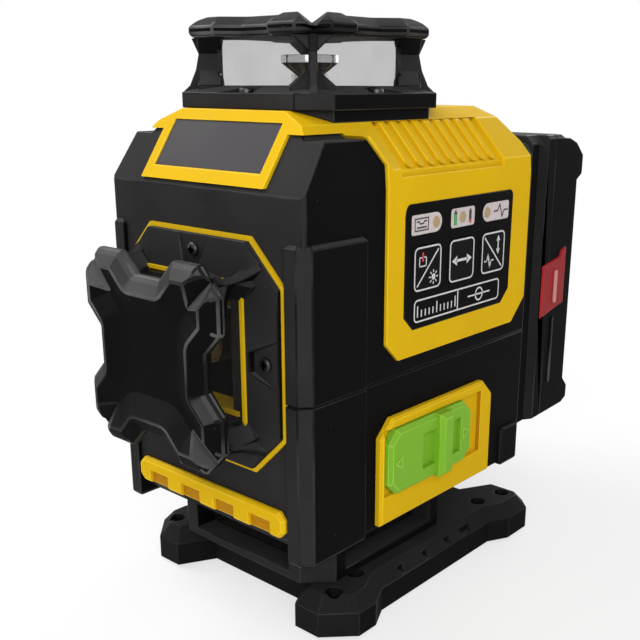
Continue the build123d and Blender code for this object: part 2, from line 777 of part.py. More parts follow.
board_y = (key_spots[0] - BOARD_OVER, key_spots[-1] + BOARD_OVER)
board_z = (KEY_Z - BOARD_DROP, light_z + BOARD_RISE)
for y in (board_y[0] + BOARD_MARGIN, board_y[1] - BOARD_MARGIN):
    for z in (board_z[0] + BOARD_MARGIN, board_z[1] - BOARD_MARGIN):
        shell = shell + rod(BOARD_BOSS_R, (board_x, y, z), (wall_x + FUSE, y, z))
parts["control_panel"] = panel
parts["indicator_windows"] = group(lights)
parts["keypad_board"] = block((board_x - BOARD_T, board_x), board_y, board_z)
parts["key_switches"] = group([rod(SWITCH_R, (board_x, y, KEY_Z), (switch_x, y, KEY_Z)) for y in key_spots])

# Lock bezel, slider and cam
bezel_low = FLOOR_Z + BEZEL_RISE
bezel_top = bezel_low + BEZEL_H
bezel_back = BEZEL_FRONT + BEZEL_W
bezel_face = poly((BEZEL_FRONT, bezel_low), (bezel_back, bezel_low), (bezel_back, bezel_top - BEZEL_CUT),
                  (bezel_back - BEZEL_CUT, bezel_top), (BEZEL_FRONT + BEZEL_CUT, bezel_top),
                  (BEZEL_FRONT, bezel_top - BEZEL_CUT))
bezel = slab_yz(bezel_face, HALF_W, HALF_W + BEZEL_T)
bezel = chamfer(bezel.edges().group_by(Axis.X)[-1], BEZEL_EDGE)
slider_y = (BEZEL_FRONT + SLIDER_IN, BEZEL_FRONT + SLIDER_IN + SLIDER_W)
slider_z = (bezel_low + SLIDER_UP, bezel_low + SLIDER_UP + SLIDER_H)
track_y = (slider_y[0] - SLIDE_FIT, slider_y[1] + LOCK_TRAVEL + SLIDE_FIT)
track_z = (slider_z[0] - SLIDE_FIT, slider_z[1] + SLIDE_FIT)
bezel = bezel - block((HALF_W + BEZEL_FLOOR, FAR), track_y, track_z)
slider_x = HALF_W + BEZEL_FLOOR + SLIDER_GAP
slider_top = slider_x + SLIDER_T
mid_z = sum(slider_z) / 2
slider_face = chamfer(Rectangle(SLIDER_W, SLIDER_H).vertices(), SLIDER_CUT)
slider = slab_yz(Pos(sum(slider_y) / 2, mid_z) * slider_face, slider_x, slider_top)
slider = chamfer(slider.edges().group_by(Axis.X)[-1], SLIDER_EDGE)
ridge_mid = sum(slider_y) / 2 + RIDGE_OFF
ridge_y = (ridge_mid - RIDGE_W / 2, ridge_mid + RIDGE_W / 2)
ridge = block((slider_x + SLIDER_T / 2, slider_top + RIDGE_RISE), ridge_y, slider_z)
slider = slider + chamfer(ridge.edges().group_by(Axis.X)[-1], RIDGE_EDGE)
scoop_z = (mid_z - SCOOP_H / 2, mid_z + SCOOP_H / 2)
for span in ((ridge_y[0] - SCOOP_W, ridge_y[0]), (ridge_y[1], ridge_y[1] + SCOOP_W)):
    slider = slider - block((slider_top - SCOOP_DEEP, FAR), span, scoop_z)
neck_y = (slider_y[0] + CAM_IN, slider_y[0] + CAM_IN + CAM_NECK)
neck_z = (slider_z[0] + CAM_NECK_UP, slider_z[0] + CAM_NECK_UP + CAM_NECK)
cam_out = wall_x - CAM_BACK
web_x = cam_out - CAM_WEB
tail = neck_y[0] - CAM_TAIL
cam_floor = FLOOR_Z + WALL + CAM_FLOOR
land = BRAKE_Z - CAM_GAP
tab_half = BRAKE_TAB_W / 2
ramp = poly((tail, cam_floor), (tab_half, cam_floor), (tab_half, land), (-tab_half, land),
            (-tab_half - LOCK_TRAVEL, land + CAM_RAMP_H), (tail, land + CAM_RAMP_H))
cam = slab_yz(ramp, cam_out - CAM_W, cam_out)
cam = cam + block((web_x, cam_out), (tail, neck_y[1]), (cam_floor, neck_z[1]))
parts["lock_cam"] = cam + block((cam_out, slider_x), neck_y, neck_z)
slot = block((wall_x - 1, slider_x), (neck_y[0] - SLIDE_FIT, neck_y[1] + LOCK_TRAVEL + SLIDE_FIT),
             (neck_z[0] - SLIDE_FIT, neck_z[1] + SLIDE_FIT))
shell = shell - slot
parts["lock_bezel"] = bezel - slot
parts["lock_slider"] = slider

# Brake ring on two guide posts
dome_r = PIVOT_Z - BRAKE_Z - DOME_UP
brake_z = (BRAKE_Z, BRAKE_Z + BRAKE_TAB)
brake = rod(BRAKE_R, (0, 0, BRAKE_Z), (0, 0, BRAKE_Z + BRAKE_H))
brake = brake + block((0, web_x - BRAKE_TAB_GAP), spread(tab_half), brake_z)
brake = brake + block(spread(BRAKE_EAR / 2), spread(BRAKE_POST_Y + BRAKE_EAR / 2), brake_z)
brake = brake - rod(BRAKE_BORE, (0, 0, 0), (0, 0, PIVOT_Z)) - Pos(0, 0, PIVOT_Z) * Sphere(dome_r + BRAKE_GAP)
posts = []
for sy in (1, -1):
    at = (0, sy * BRAKE_POST_Y)
    brake = brake - rod(BRAKE_POST_R + POST_FIT, (*at, 0), (*at, PIVOT_Z))
    posts.append(rod(BRAKE_POST_R, (*at, FLOOR_Z + WALL), (*at, BRAKE_Z + BRAKE_POST_H)))
parts["brake_ring"] = brake
parts["brake_posts"] = group(posts)

# Gimbal bracket, ring, bearings and pins
hang_top = TOP_Z - BRACKET_DROP
hang_low = hang_top - BRACKET_T
leg_in = RING_OUT + BRACKET_LEG_GAP
leg_out = leg_in + BRACKET_LEG
bracket = block(spread(BRACKET_HALF[0]), spread(BRACKET_HALF[1]), (hang_low, hang_top))
bracket = bracket - block(spread(BRACKET_HOLE[0]), spread(BRACKET_HOLE[1]), (0, FAR))
ring = block(spread(RING_OUT), spread(RING_OUT), (PIVOT_Z - RING_H / 2, PIVOT_Z + RING_H / 2))
ring = ring - block(spread(RING_IN), spread(RING_IN), (0, FAR))
bearings = []
ring_bearings = []
pins_x = []
pins_y = []
for s in (1, -1):
    leg_z = (PIVOT_Z - 2 * BEARING_R, hang_low)
    leg = block(on_side(s, (leg_in, leg_out)), spread(BRACKET_LEG_W / 2), leg_z)
    race = rod(BEARING_R, (s * leg_in, 0, PIVOT_Z), (s * leg_out, 0, PIVOT_Z))
    bracket = bracket + (leg - race)
    bearings.append(race - rod(PIN_R + RUN_FIT, (0, 0, PIVOT_Z), (s * FAR, 0, PIVOT_Z)))
    pin = rod(PIN_R, (s * RING_IN, 0, PIVOT_Z), (s * leg_out, 0, PIVOT_Z))
    pins_x.append(pin)
    ring_race = rod(BEARING_R, (0, s * RING_IN, PIVOT_Z), (0, s * RING_OUT, PIVOT_Z))
    ring = ring - ring_race - pin
    ring_bearings.append(ring_race - rod(PIN_R + RUN_FIT, (0, 0, PIVOT_Z), (0, s * FAR, PIVOT_Z)))
    pins_y.append(rod(PIN_R, (0, s * COLUMN, PIVOT_Z), (0, s * RING_OUT, PIVOT_Z)))
    for t in (1, -1):
        at = (s * BRACKET_BOSS[0], t * BRACKET_BOSS[1])
        shell = shell + rod(BRACKET_BOSS_R, (*at, hang_top), (*at, TOP_Z - WALL + FUSE))
parts["gimbal_bracket"] = bracket
parts["gimbal_bearings"] = group(bearings)
parts["gimbal_ring"] = ring
parts["gimbal_ring_bearings"] = group(ring_bearings)
parts["gimbal_pins"] = group(pins_x)
parts["pendulum_pins"] = group(pins_y)

# Pendulum column, its weights and its four laser modules
column_z = (PIVOT_Z - COLUMN_LOW, PIVOT_Z + COLUMN_TOP)
modules = [
    [Pos(0, 0, column_z[1]) * s for s in laser_module(TOP_Z + SKIN + TOP_BARREL - column_z[1])],
    [Pos(0, -COLUMN, CORE_Z) * Rot(90, 0, 0) * s for s in laser_module(-FRONT_Y - SIDE_BARREL - COLUMN)],
    [Pos(-COLUMN, LEFT_Y, CORE_Z) * Rot(0, -90, 0) * s for s in laser_module(HALF_W - SIDE_BARREL - COLUMN)],
    [Pos(0, 0, column_z[0]) * Rot(180, 0, 0) * s for s in laser_module(column_z[0] - FLOOR_Z - NECK_BARREL)],
]
column = block(spread(COLUMN), spread(COLUMN), column_z)
column = column + block(spread(COLUMN), (0, LEFT_Y + COLUMN), (CORE_Z - COLUMN, CORE_Z + COLUMN))
weight = rod(DOME_HALF, (0, 0, BRAKE_Z), (0, 0, column_z[0])) & (Pos(0, 0, PIVOT_Z) * Sphere(dome_r))
balance_z = (CORE_Z - COLUMN, CORE_Z - COLUMN + BALANCE_H)
parts["pendulum_column"] = column
parts["counterweight"] = weight - modules[-1][0]
parts["balance_weight"] = block((COLUMN, COLUMN + BALANCE_W), BALANCE_Y, balance_z)
parts["laser_barrels"] = group([m[0] for m in modules])
parts["clear_tubes"] = group([m[1] for m in modules])
parts["cone_mirrors"] = group([m[2] for m in modules])

# Battery dock: rails, contact block and blades on the back wall
dock = block(spread(DOCK_HALF), (BACK_Y - WALL, BACK_Y), DOCK_Z)
shell = shell - dock
rail_y = (BACK_Y, BACK_Y + RAIL_STEM_H, BACK_Y + RAIL_STEM_H + RAIL_HEAD_H)
board_half = HALF_W - MAIN_BOARD_IN
board_low, board_high = MAIN_BOARD_Z
board_back = BACK_Y - WALL - MAIN_BOARD_GAP
for s in (1, -1):
    x = s * RAIL_X
    dock = dock + block((x - RAIL_STEM / 2, x + RAIL_STEM / 2), rail_y[:2], RAIL_Z)
    dock = dock + block((x - RAIL_HEAD / 2, x + RAIL_HEAD / 2), rail_y[1:], RAIL_Z)
    x = s * (board_half - DOCK_POST_IN)
    for z in (RAIL_Z[0] + DOCK_POST_IN, RAIL_Z[1] - DOCK_POST_IN):
        dock = dock + rod(DOCK_POST_R, (x, board_back, z), (x, BACK_Y - WALL, z))
contact_top = RAIL_Z[0] + CONTACT_H
dock = dock + block(spread(CONTACT_HALF), (BACK_Y, BACK_Y + CONTACT_D), (RAIL_Z[0], contact_top))
contact_x = [CONTACT_PITCH * (k - 1.5) for k in range(4)]
blade_y = (BACK_Y + BLADE_GAP, BACK_Y + BLADE_GAP + BLADE_W)
clip_y = (blade_y[1] + CLIP_GAP, blade_y[1] + CLIP_GAP + CLIP_T)
blade_z = (RAIL_Z[0] + BLADE_UP, RAIL_Z[0] + BLADE_UP + BLADE_H)
clip_z = (contact_top + BLADE_GAP, contact_top + BLADE_GAP + CLIP_H)
blades = [block((x - BLADE_T / 2, x + BLADE_T / 2), blade_y, blade_z) for x in contact_x]
clips = [block((x - CLIP_W / 2, x + CLIP_W / 2), clip_y, clip_z) for x in contact_x]
for blade in blades:
    dock = dock - blade
parts["battery_dock"] = dock
parts["contact_blades"] = group(blades)
parts["battery_terminals"] = group(clips)
parts["main_board"] = block(spread(board_half), (board_back - BOARD_T, board_back), (board_low, board_high))

# Battery case with a stepped top, two lips, rail slots and side latches
pack_y = BACK_Y + PACK_GAP
pack_back = pack_y + PACK_DEPTH
lip_y = pack_back + PACK_LIP
step_y = pack_y + PACK_STEP
neck_end = pack_y + PACK_NECK_END
low_lip = [PACK_LOW + rise for rise in PACK_LIP_LOW]
top_lip = [PACK_TOP - drop for drop in PACK_LIP_TOP]
pack_side = poly((pack_y, PACK_LOW), (pack_back, low_lip[0]), (lip_y, low_lip[1]), (lip_y, low_lip[2]),
                 (pack_back, low_lip[3]), (pack_back, top_lip[0]), (lip_y - PACK_EDGE, top_lip[1]),
                 (lip_y, top_lip[2]), (lip_y - PACK_ROOF, top_lip[3]), (step_y + PACK_BROW, top_lip[4]),
                 (step_y + PACK_EDGE, top_lip[4]), (step_y, PACK_TOP), (pack_y, PACK_TOP))
pack_plan = mirrored([(HALF_W - PACK_NECK, pack_y), (HALF_W - PACK_NECK, pack_y + PACK_NECK_RUN),
                      (HALF_W, neck_end), (HALF_W, lip_y - PACK_EDGE), (HALF_W - PACK_EDGE, lip_y)])


def pack_end(cut, low, high):
    """Stretch of the pack along Y with its top corners cut."""
    face = mirrored([(HALF_W, 0), (HALF_W, PACK_TOP - cut), (HALF_W - cut, PACK_TOP)])
    return slab_xz(face, low, high)


pack = slab_yz(pack_side, -FAR, FAR) & slab_xy(pack_plan, 0, FAR)
pack = pack & (pack_end(PACK_BROW, 0, neck_end) + pack_end(PACK_EDGE, neck_end, FAR))
tub_z = (PACK_LOW + PACK_FLOOR, PACK_TOP - PACK_ROOF)
pack = pack - block(spread(HALF_W - PACK_WALL), (neck_end, pack_back - PACK_WALL), tub_z)
pack = pack - block(spread(CONTACT_HALF + 2 * SLIDE_FIT), (0, clip_y[1]), (0, clip_z[1]))
slot_z = (0, RAIL_Z[1] + SLIDE_FIT)
for s in (1, -1):
    x = s * RAIL_X
    thin = RAIL_STEM / 2 + SLIDE_FIT
    thick = RAIL_HEAD / 2 + SLIDE_FIT
    pack = pack - block((x - thin, x + thin), (0, rail_y[2]), slot_z)
    pack = pack - block((x - thick, x + thick), (rail_y[1] - SLIDE_FIT, rail_y[2] + SLIDE_FIT), slot_z)
latch_y = (pack_y + LATCH_IN, pack_y + LATCH_IN + LATCH_W)
latch_top = LATCH_LOW + LATCH_H
hook = [(latch_y[0] + run, latch_top + rise) for run, rise in reversed(LATCH_HOOK)]
latch_foot = [(latch_y[0], latch_top), (latch_y[0], LATCH_LOW), (latch_y[1], LATCH_LOW + LATCH_SLANT)]
latch_face = poly(*latch_foot, *hook)
latch_x = HALF_W + LATCH_PROUD
latch = slab_yz(latch_face, latch_x - LATCH_T, latch_x)
latch = chamfer(latch.edges().group_by(Axis.X)[-1], LATCH_EDGE)
for hole in both(slab_yz(grown(latch_face, KEY_FIT), HALF_W - LATCH_WELL, FAR)):
    pack = pack - hole
front_half = block(spread(FAR), (0, pack_y + PACK_FRONT), (0, FAR))
parts["battery_case_front"] = pack & front_half
parts["battery_case_back"] = pack - front_half
parts["battery_latch_right"], parts["battery_latch_left"] = both(latch)

# Cells, their straps, cradle and charge board
cell_pitch = 2 * (HALF_W - PACK_WALL - CELL_SIDE) / CELLS
cell_r = cell_pitch / 2 - CELL_SPLIT
cell_x = [cell_pitch * (k - (CELLS - 1) / 2) for k in range(CELLS)]
cell_y = neck_end + CELL_GAP + cell_r
cell_z = (tub_z[0] + CRADLE_H + TAB_T, tub_z[0] + CRADLE_H + TAB_T + CELL_H)
bed_y = (cell_y - cell_r + CELL_GAP, cell_y + cell_r)
strap_y = (cell_y - STRAP_W / 2, cell_y + STRAP_W / 2)
straps = []
for left, right in zip(cell_x[::2], cell_x[1::2]):
    for z in (cell_z[0] - TAB_T, cell_z[1]):
        straps.append(block((left - STRAP_END, right + STRAP_END), strap_y, (z, z + TAB_T)))
top_z = cell_z[1] + TAB_T
parts["battery_cells"] = group([rod(cell_r, (x, cell_y, cell_z[0]), (x, cell_y, cell_z[1])) for x in cell_x])
parts["cell_tabs"] = group(straps)
parts["cell_cradle"] = block(spread(CELLS * cell_pitch / 2), bed_y, (tub_z[0], cell_z[0] - TAB_T))
parts["charge_board"] = block(spread(CHARGE_HALF), bed_y, (top_z, top_z + BOARD_T))

# Front bumper bar with a row of pockets
bar_low = FLOOR_Z + TOE + BAR_RISE
bar_top = bar_low + BAR_H
bar_half = HALF_W - BAR_IN
bar_face = mirrored([(bar_half - BAR_CUT, bar_low), (bar_half, bar_low + BAR_CUT),
                     (bar_half, bar_top - BAR_CUT), (bar_half - BAR_CUT, bar_top)])
bar = slab_xz(bar_face, FRONT_Y - BAR_T, FRONT_Y)
bar = chamfer(bar.edges().group_by(Axis.Y)[0], BAR_EDGE)
pocket_y = (-FAR, FRONT_Y - BAR_T + POCKET_DEEP)
for k in range(POCKETS):
    x = POCKET_PITCH * (k - (POCKETS - 1) / 2)
    bar = bar - block((x - POCKET_HALF, x + POCKET_HALF), pocket_y, (0, bar_low + POCKET_H))
parts["bumper_bar"] = bar

# Housing bosses and long screws
long_screws = []
head_z = FLOOR_Z + HEAD_SUNK
seat_z = head_z + HOUSING_HEAD_H
boss_z = (FLOOR_Z + BOSS_FOOT, SEAM_Z + BOSS_OVER)
for sx in (1, -1):
    for y in (FRONT_Y + BOSS_IN[1], BACK_Y - BOSS_IN[2]):
        x = HALF_W - BOSS_IN[0]
        at = (sx * x, y)
        shell = shell + rod(BOSS_R, (*at, boss_z[0]), (*at, boss_z[1]))
        shell = shell + block(on_side(sx, (x, wall_x + FUSE)), (y - BOSS_WEB / 2, y + BOSS_WEB / 2), boss_z)
        shank = rod(HOUSING_SCREW_R, (*at, seat_z), (*at, boss_z[1] - SCREW_SHORT))
        screw = rod(HOUSING_HEAD_R, (*at, head_z), (*at, seat_z)) + shank
        shell = shell - rod(HOUSING_HEAD_R + HEAD_FIT, (*at, 0), (*at, seat_z)) - screw
        long_screws.append(screw)
above = block(spread(FAR), spread(FAR), (SEAM_Z, FAR))
parts["housing_screws"] = group(long_screws)
parts["upper_housing"] = shell & above
parts["lower_housing"] = shell - above
parts["saddle"] = saddle

for name, shape in parts.items():
    export_step(shape, f"parts/{name}.step")
print(len(parts), "nodes")
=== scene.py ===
"""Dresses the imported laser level: worn shells, glazing, printed marks, fasteners, floor and light."""

import json
from math import cos, pi, radians, sin

import bmesh
import bpy
from bpy.props import FloatProperty, FloatVectorProperty, PointerProperty
from bpy.types import Operator, Panel, PropertyGroup
from mathutils import Euler, Matrix, Vector


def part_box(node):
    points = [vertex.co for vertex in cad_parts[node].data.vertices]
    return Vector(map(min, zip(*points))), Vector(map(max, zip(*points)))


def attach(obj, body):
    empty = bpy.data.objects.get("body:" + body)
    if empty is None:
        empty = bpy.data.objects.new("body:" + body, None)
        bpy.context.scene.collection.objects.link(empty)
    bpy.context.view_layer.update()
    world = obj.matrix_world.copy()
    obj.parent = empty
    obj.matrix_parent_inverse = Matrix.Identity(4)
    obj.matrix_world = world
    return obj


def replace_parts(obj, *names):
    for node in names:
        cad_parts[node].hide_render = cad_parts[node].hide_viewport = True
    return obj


bl_info = {
    "name": "Laser level dresser",
    "version": (1, 0, 0),
    "blender": (4, 5, 0),
    "location": "View3D > Sidebar > Level",
    "description": "Finishes the pieces of a multi-line laser level and sets its studio",
    "category": "Object",
}

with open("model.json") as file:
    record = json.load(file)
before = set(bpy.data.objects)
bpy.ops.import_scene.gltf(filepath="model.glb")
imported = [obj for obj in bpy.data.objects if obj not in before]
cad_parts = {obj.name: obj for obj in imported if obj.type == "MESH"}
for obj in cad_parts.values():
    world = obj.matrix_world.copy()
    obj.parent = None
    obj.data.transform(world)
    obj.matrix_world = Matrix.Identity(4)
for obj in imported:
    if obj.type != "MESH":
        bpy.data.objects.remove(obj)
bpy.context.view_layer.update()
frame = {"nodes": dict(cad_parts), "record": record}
BODY_OF = {node: body for body, rows in frame["record"]["behaviour"]["bodies"].items() for node in rows}
SLOT_OF = {row["node"]: row["material_slot"] for row in frame["record"]["subparts"]}
MM = 0.001
LOOKS = {}

# Patterns of the finishes, in repeats per metre
CLOUD = 45.0
RUB = 38.0
RUB_GRAIN = 160.0
FLECK = 260.0
FLECK_PATCH = 30.0
TOOL_LINE = 900.0
TOOL_PATCH = 120.0
HAZE = 90.0
INK_GRAIN = 700.0
BOARD_PARTS = 120.0
BOARD_RUNS = 400.0

# Limits for a copy of a solid: points to merge, faces to join, edges to round, slivers to drop
JOIN = 0.004 * MM
FLAT = radians(0.6)
KEEN = radians(22)
SLIVER = 0.002 * MM

# Lean of a face's normal from which it takes dust and painted light, and how fast that share thickens with
# the lean: dust with a painted sheen on faces that look up, painted light on the front, a painted highlight
# on chamfers
LEAN_UP, THICK_UP = 0.15, 1.6
LEAN_FRONT, THICK_FRONT = 0.3, 0.8
LEAN_SLANT, THICK_SLANT = -0.3, 2.0
# Painted shade: the foot under the housing keeps a smaller share. Painted highlights: the guards' up-facing
# facets take more, and their dishes a small part
FOOT_SHARE_IN_PAINTED_SHADE = 0.4
DISH_SHARE = 0.2
GUARD_DUST_AND_HIGHLIGHT = {"top_turret_guard": 0.6, "front_turret_guard": 2.4, "left_turret_guard": 2.4}

# A face whose normal passes this looks straight along an axis
STRAIGHT = 0.9


def setting(kind, convert, **fixed):
    """Maker of one sort of property, called with its name, description and default."""
    return lambda name, about, value: kind(name=name, description=about, default=convert(value), **fixed)


colour = setting(FloatVectorProperty, tuple, size=3, min=0, max=1, subtype="COLOR")
point = setting(FloatVectorProperty, tuple, size=3, unit="LENGTH", subtype="TRANSLATION")
number = setting(FloatProperty, float, min=0)
focal = setting(FloatProperty, float, min=1, unit="CAMERA")
power = setting(FloatProperty, float, min=0, unit="POWER")
# Given in degrees and in millimetres
angle = setting(FloatProperty, radians, subtype="ANGLE")
length = setting(FloatProperty, lambda mm: mm * MM, min=0, unit="LENGTH", subtype="DISTANCE", precision=5)


class LevelColours(PropertyGroup):
    """Colours of the finishes."""

    shell: colour("Shell", "Black moulded housing", (0.0036, 0.0035, 0.0036))
    # Paler edge colour, partly wear and partly a painted highlight
    shell_worn_and_highlight: colour("Shell edge", "Rubbed edges of the black mouldings", (0.030, 0.029, 0.030))
    # Paler ridges, partly wear and partly a painted highlight
    guard_worn_and_highlight: colour("Guard edge", "Polished ridges of the guards", (0.095, 0.093, 0.092))
    guard: colour("Guard", "Dark rubber of the turret guards", (0.0038, 0.0036, 0.0036))
    foot: colour("Foot", "Plastic of the foot plate", (0.0036, 0.0036, 0.0037))
    # Dust, with a painted sheen on up-facing faces and painted light on chamfers and the front
    dust: colour("Dust", "Dust and haze on the faces that look up or to the front", (0.040, 0.039, 0.039))
    # Dust and a painted highlight on the guards' up-facing facets
    guard_dust: colour("Guard dust", "Dust and polish on the facets of the guards", (0.088, 0.086, 0.085))
    yellow: colour("Saddle", "Yellow overmoulded shell", (0.65, 0.40, 0.006))
    # Paler edge colour, partly wear and partly a painted highlight
    yellow_worn_and_highlight: colour("Saddle edge", "Paler rubbed edges of the yellow shell", (0.76, 0.52, 0.020))
    # Painted shade for the front-facing faces in the yellow shell's pockets and slider track
    yellow_painted_shade: colour("Saddle hollow", "Deeper tone in the yellow shell's hollows", (0.42, 0.19, 0.004))
    seal: colour("Seal", "Amber gasket round the windows", (0.60, 0.38, 0.008))
    label: colour("Label", "Bare grey label plate", (0.042, 0.039, 0.042))
    lime: colour("Slider", "Lime lock slider", (0.175, 0.40, 0.022))
    # Paler edge colour, partly wear and partly a painted highlight
    lime_worn_and_highlight: colour("Slider edge", "Paler edges of the lock slider", (0.33, 0.56, 0.060))
    # Painted highlight along the latch's finger rib
    rib: colour("Latch rib", "Finger rib of the latch, rubbed pale", (0.46, 0.19, 0.17))
    red: colour("Latch", "Dark red battery latch", (0.26, 0.009, 0.012))
    key: colour("Key", "Rubber of the keys", (0.0040, 0.0040, 0.0042))
    lens: colour("Lamp", "Unlit indicator lens", (0.36, 0.25, 0.125))
    plate: colour("Badge", "Pale printed plates round the lamps", (0.56, 0.49, 0.48))
    ink: colour("Ink", "White printed marks", (0.62, 0.60, 0.60))
    ink_green: colour("Green ink", "Charge mark", (0.04, 0.30, 0.06))
    ink_red: colour("Red ink", "Low charge mark", (0.55, 0.03, 0.03))
    glass: colour("Pane", "Smoked clear panes", (0.030, 0.029, 0.028))
    mirror: colour("Mirror", "Polished cone mirrors", (0.60, 0.61, 0.62))
    steel: colour("Screw", "Blackened steel of the screws", (0.055, 0.055, 0.058))
    metal: colour("Aluminium", "Turned inner parts", (0.60, 0.60, 0.61))
    brass: colour("Brass", "Weights and contacts", (0.62, 0.42, 0.16))
    board: colour("Board", "Green circuit boards", (0.012, 0.085, 0.035))
    board_part: colour("Board part", "Dark parts on the boards", (0.03, 0.03, 0.03))
    sleeve: colour("Cell", "Sleeves of the cells", (0.02, 0.10, 0.30))
    inner: colour("Inner plastic", "Dark plastic of the inner pieces", (0.018, 0.018, 0.020))


class LevelSizes(PropertyGroup):
    """Sizes of the finishing work."""

    edge: length("Edge round", "Round on the moulded edges", 0.35)
    guard_edge: length("Guard round", "Round on the rubber guards", 0.55)
    fine_edge: length("Fine round", "Round on small pieces", 0.18)
    shortest: length("Shortest edge", "Shorter edges keep their corner", 0.40)
    thread_root: length("Thread root", "Radius at the root of the tripod thread", 3.175)
    thread_crest: length("Thread crest", "Radius at the crest of the tripod thread", 2.55)
    thread_pitch: length("Thread pitch", "Rise of the tripod thread in one turn", 1.27)
    thread_deep: length("Thread depth", "Depth of the tripod thread", 9.0)
    stroke: length("Stroke", "Width of a printed line", 0.50)
    film: length("Ink film", "Height of the printed ink", 0.05)
    badge: length("Badge height", "Height of the plates round the lamps", 6.0)
    dome: length("Lamp dome", "Height of a lamp over the panel", 0.30)
    ridge: length("Slider ridge", "Height of the slider's ridge over its plate", 2.6)
    grip: length("Grip rib", "Width of a grip rib on the battery's back", 1.6)
    ledge: length("Ledge", "Thickness of the amber ledges behind the side windows", 1.5)
    ledge_half: length("Ledge half", "Half the width of a ledge in its light shaft", 16.8)
    ledge_lip: length("Ledge lip", "Half the width of a ledge in front of its shaft", 20.0)
    ledge_deep: length("Ledge depth", "Depth of a ledge from its lip", 8.0)
    rib: length("Moulded rib", "Height of the small ribs on the battery", 0.5)
    grain: number("Grain", "Grains of the moulded texture per metre", 1500)


class LevelStage(PropertyGroup):
    """Camera, floor and lamps."""

    eye: point("Camera", "Place of the camera", (0.2065, -0.2185, 0.164))
    turn: angle("Turn", "Turn of the camera about the vertical", 41.087)
    tilt: angle("Tilt", "Tilt of the camera below the horizon", 16.70)
    roll: angle("Roll", "Roll of the camera", 0.197)
    lens: focal("Lens", "Focal length", 51.84)
    shift: FloatVectorProperty(name="Shift", description="Shift of the picture", size=2,
                               default=(-0.043, 0.0605))
    floor: colour("Floor", "Pale floor", (0.86, 0.86, 0.87))
    floor_half: length("Floor half", "Half the width of the floor", 4000)
    sky: number("Sky", "Strength of the all-round light", 0.40)
    aim: point("Aim", "Point that the lamps face", (0, 0.015, 0.085))
    key: power("Key lamp", "Power of the large lamp", 7.0)
    key_at: point("Key place", "Place of the large lamp", (-0.60, -0.24, 0.80))
    key_wide: length("Key width", "Width of the large lamp", 600)
    fill: power("Fill lamp", "Power of the side lamp", 3.5)
    fill_at: point("Fill place", "Place of the side lamp", (0.46, -0.45, 0.40))
    fill_wide: length("Fill width", "Width of the side lamp", 500)
    rear: power("Rear lamp", "Power of the lamp behind", 4.0)
    rear_at: point("Rear place", "Place of the lamp behind", (-0.10, 0.95, 0.45))
    rear_wide: length("Rear width", "Width of the lamp behind", 600)


def sizes():
    """Finishing sizes as set in the panel."""
    return bpy.context.scene.level_sizes


def rgba(value, times=1.0):
    """Colour with alpha, made lighter or darker."""
    return (*[min(1.0, part * times) for part in value], 1.0)


def paler(value, times, lift=0.0):
    """Colour scaled and lifted."""
    return [part * times + lift for part in value]


def by_node(operation):
    """Operator of a wire that adds a math node."""
    return lambda wire, other: wire.finish.math(operation, wire, other)


class Wire:
    """Socket of a finish that takes part in arithmetic."""

    def __init__(self, finish, socket):
        self.finish = finish
        self.socket = socket

    def __rsub__(self, other):
        return self.finish.math("SUBTRACT", other, self)

    __add__ = __radd__ = by_node("ADD")
    __mul__ = __rmul__ = by_node("MULTIPLY")
    __sub__ = by_node("SUBTRACT")
    __lt__ = by_node("LESS_THAN")
    __gt__ = by_node("GREATER_THAN")


class Finish:
    """Node tree that grows by one method."""

    def __init__(self, owner):
        owner.use_nodes = True
        self.tree = owner.node_tree
        self.tree.nodes.clear()

    def node(self, kind, settings=None, sockets=None, out=0):
        """Adds a node: its settings first, then the values or links of its sockets."""
        node = self.tree.nodes.new(kind)
        for key, value in (settings or {}).items():
            setattr(node, key, value)
        for key, value in (sockets or {}).items():
            if isinstance(value, Wire):
                self.tree.links.new(value.socket, node.inputs[key])
            else:
                node.inputs[key].default_value = value
        return Wire(self, node.outputs[out]) if node.outputs else None

    def math(self, operation, a, b):
        return self.node("ShaderNodeMath", {"operation": operation}, {0: a, 1: b})

    def held(self, value, times):
        """Value times a factor, kept between 0 and 1."""
        return self.node("ShaderNodeMath", {"operation": "MULTIPLY", "use_clamp": True}, {0: value, 1: times})

    def mix(self, factor, a, b):
        """Colour between a and b."""
        return self.node("ShaderNodeMix", {"data_type": "RGBA"}, {0: factor, 6: a, 7: b}, out=2)

    def noise(self, place, scale, detail=2.0, roughness=0.5):
        return self.node("ShaderNodeTexNoise", {}, {"Vector": place, "Scale": scale, "Detail": detail,
                                                    "Roughness": roughness})

    def spots(self, place, scale, **settings):
        """Distance to the nearest of scattered points."""
        return self.node("ShaderNodeTexVoronoi", settings, {"Vector": place, "Scale": scale})

    def bump(self, height, depth, strength):
        return self.node("ShaderNodeBump", {}, {"Height": height, "Distance": depth, "Strength": strength})

    def seen(self):
        """Whether a ray comes from the eye, a reflection or through glass."""
        rays = self.node("ShaderNodeLightPath", out="Is Camera Ray")
        for name in ("Is Glossy Ray", "Is Transmission Ray"):
            rays = rays + self.node("ShaderNodeLightPath", out=name)
        return rays

    def surface(self, sockets):
        """Closes the tree with one Principled surface."""
        shader = self.node("ShaderNodeBsdfPrincipled", {}, sockets)
        self.node("ShaderNodeOutputMaterial", {}, {"Surface": shader})


def finish(name):
    """New finish, kept under that name, and the coordinates of its object."""
    LOOKS[name] = bpy.data.materials.new(name + "_look")
    skin = Finish(LOOKS[name])
    return skin, skin.node("ShaderNodeTexCoord", out="Object")


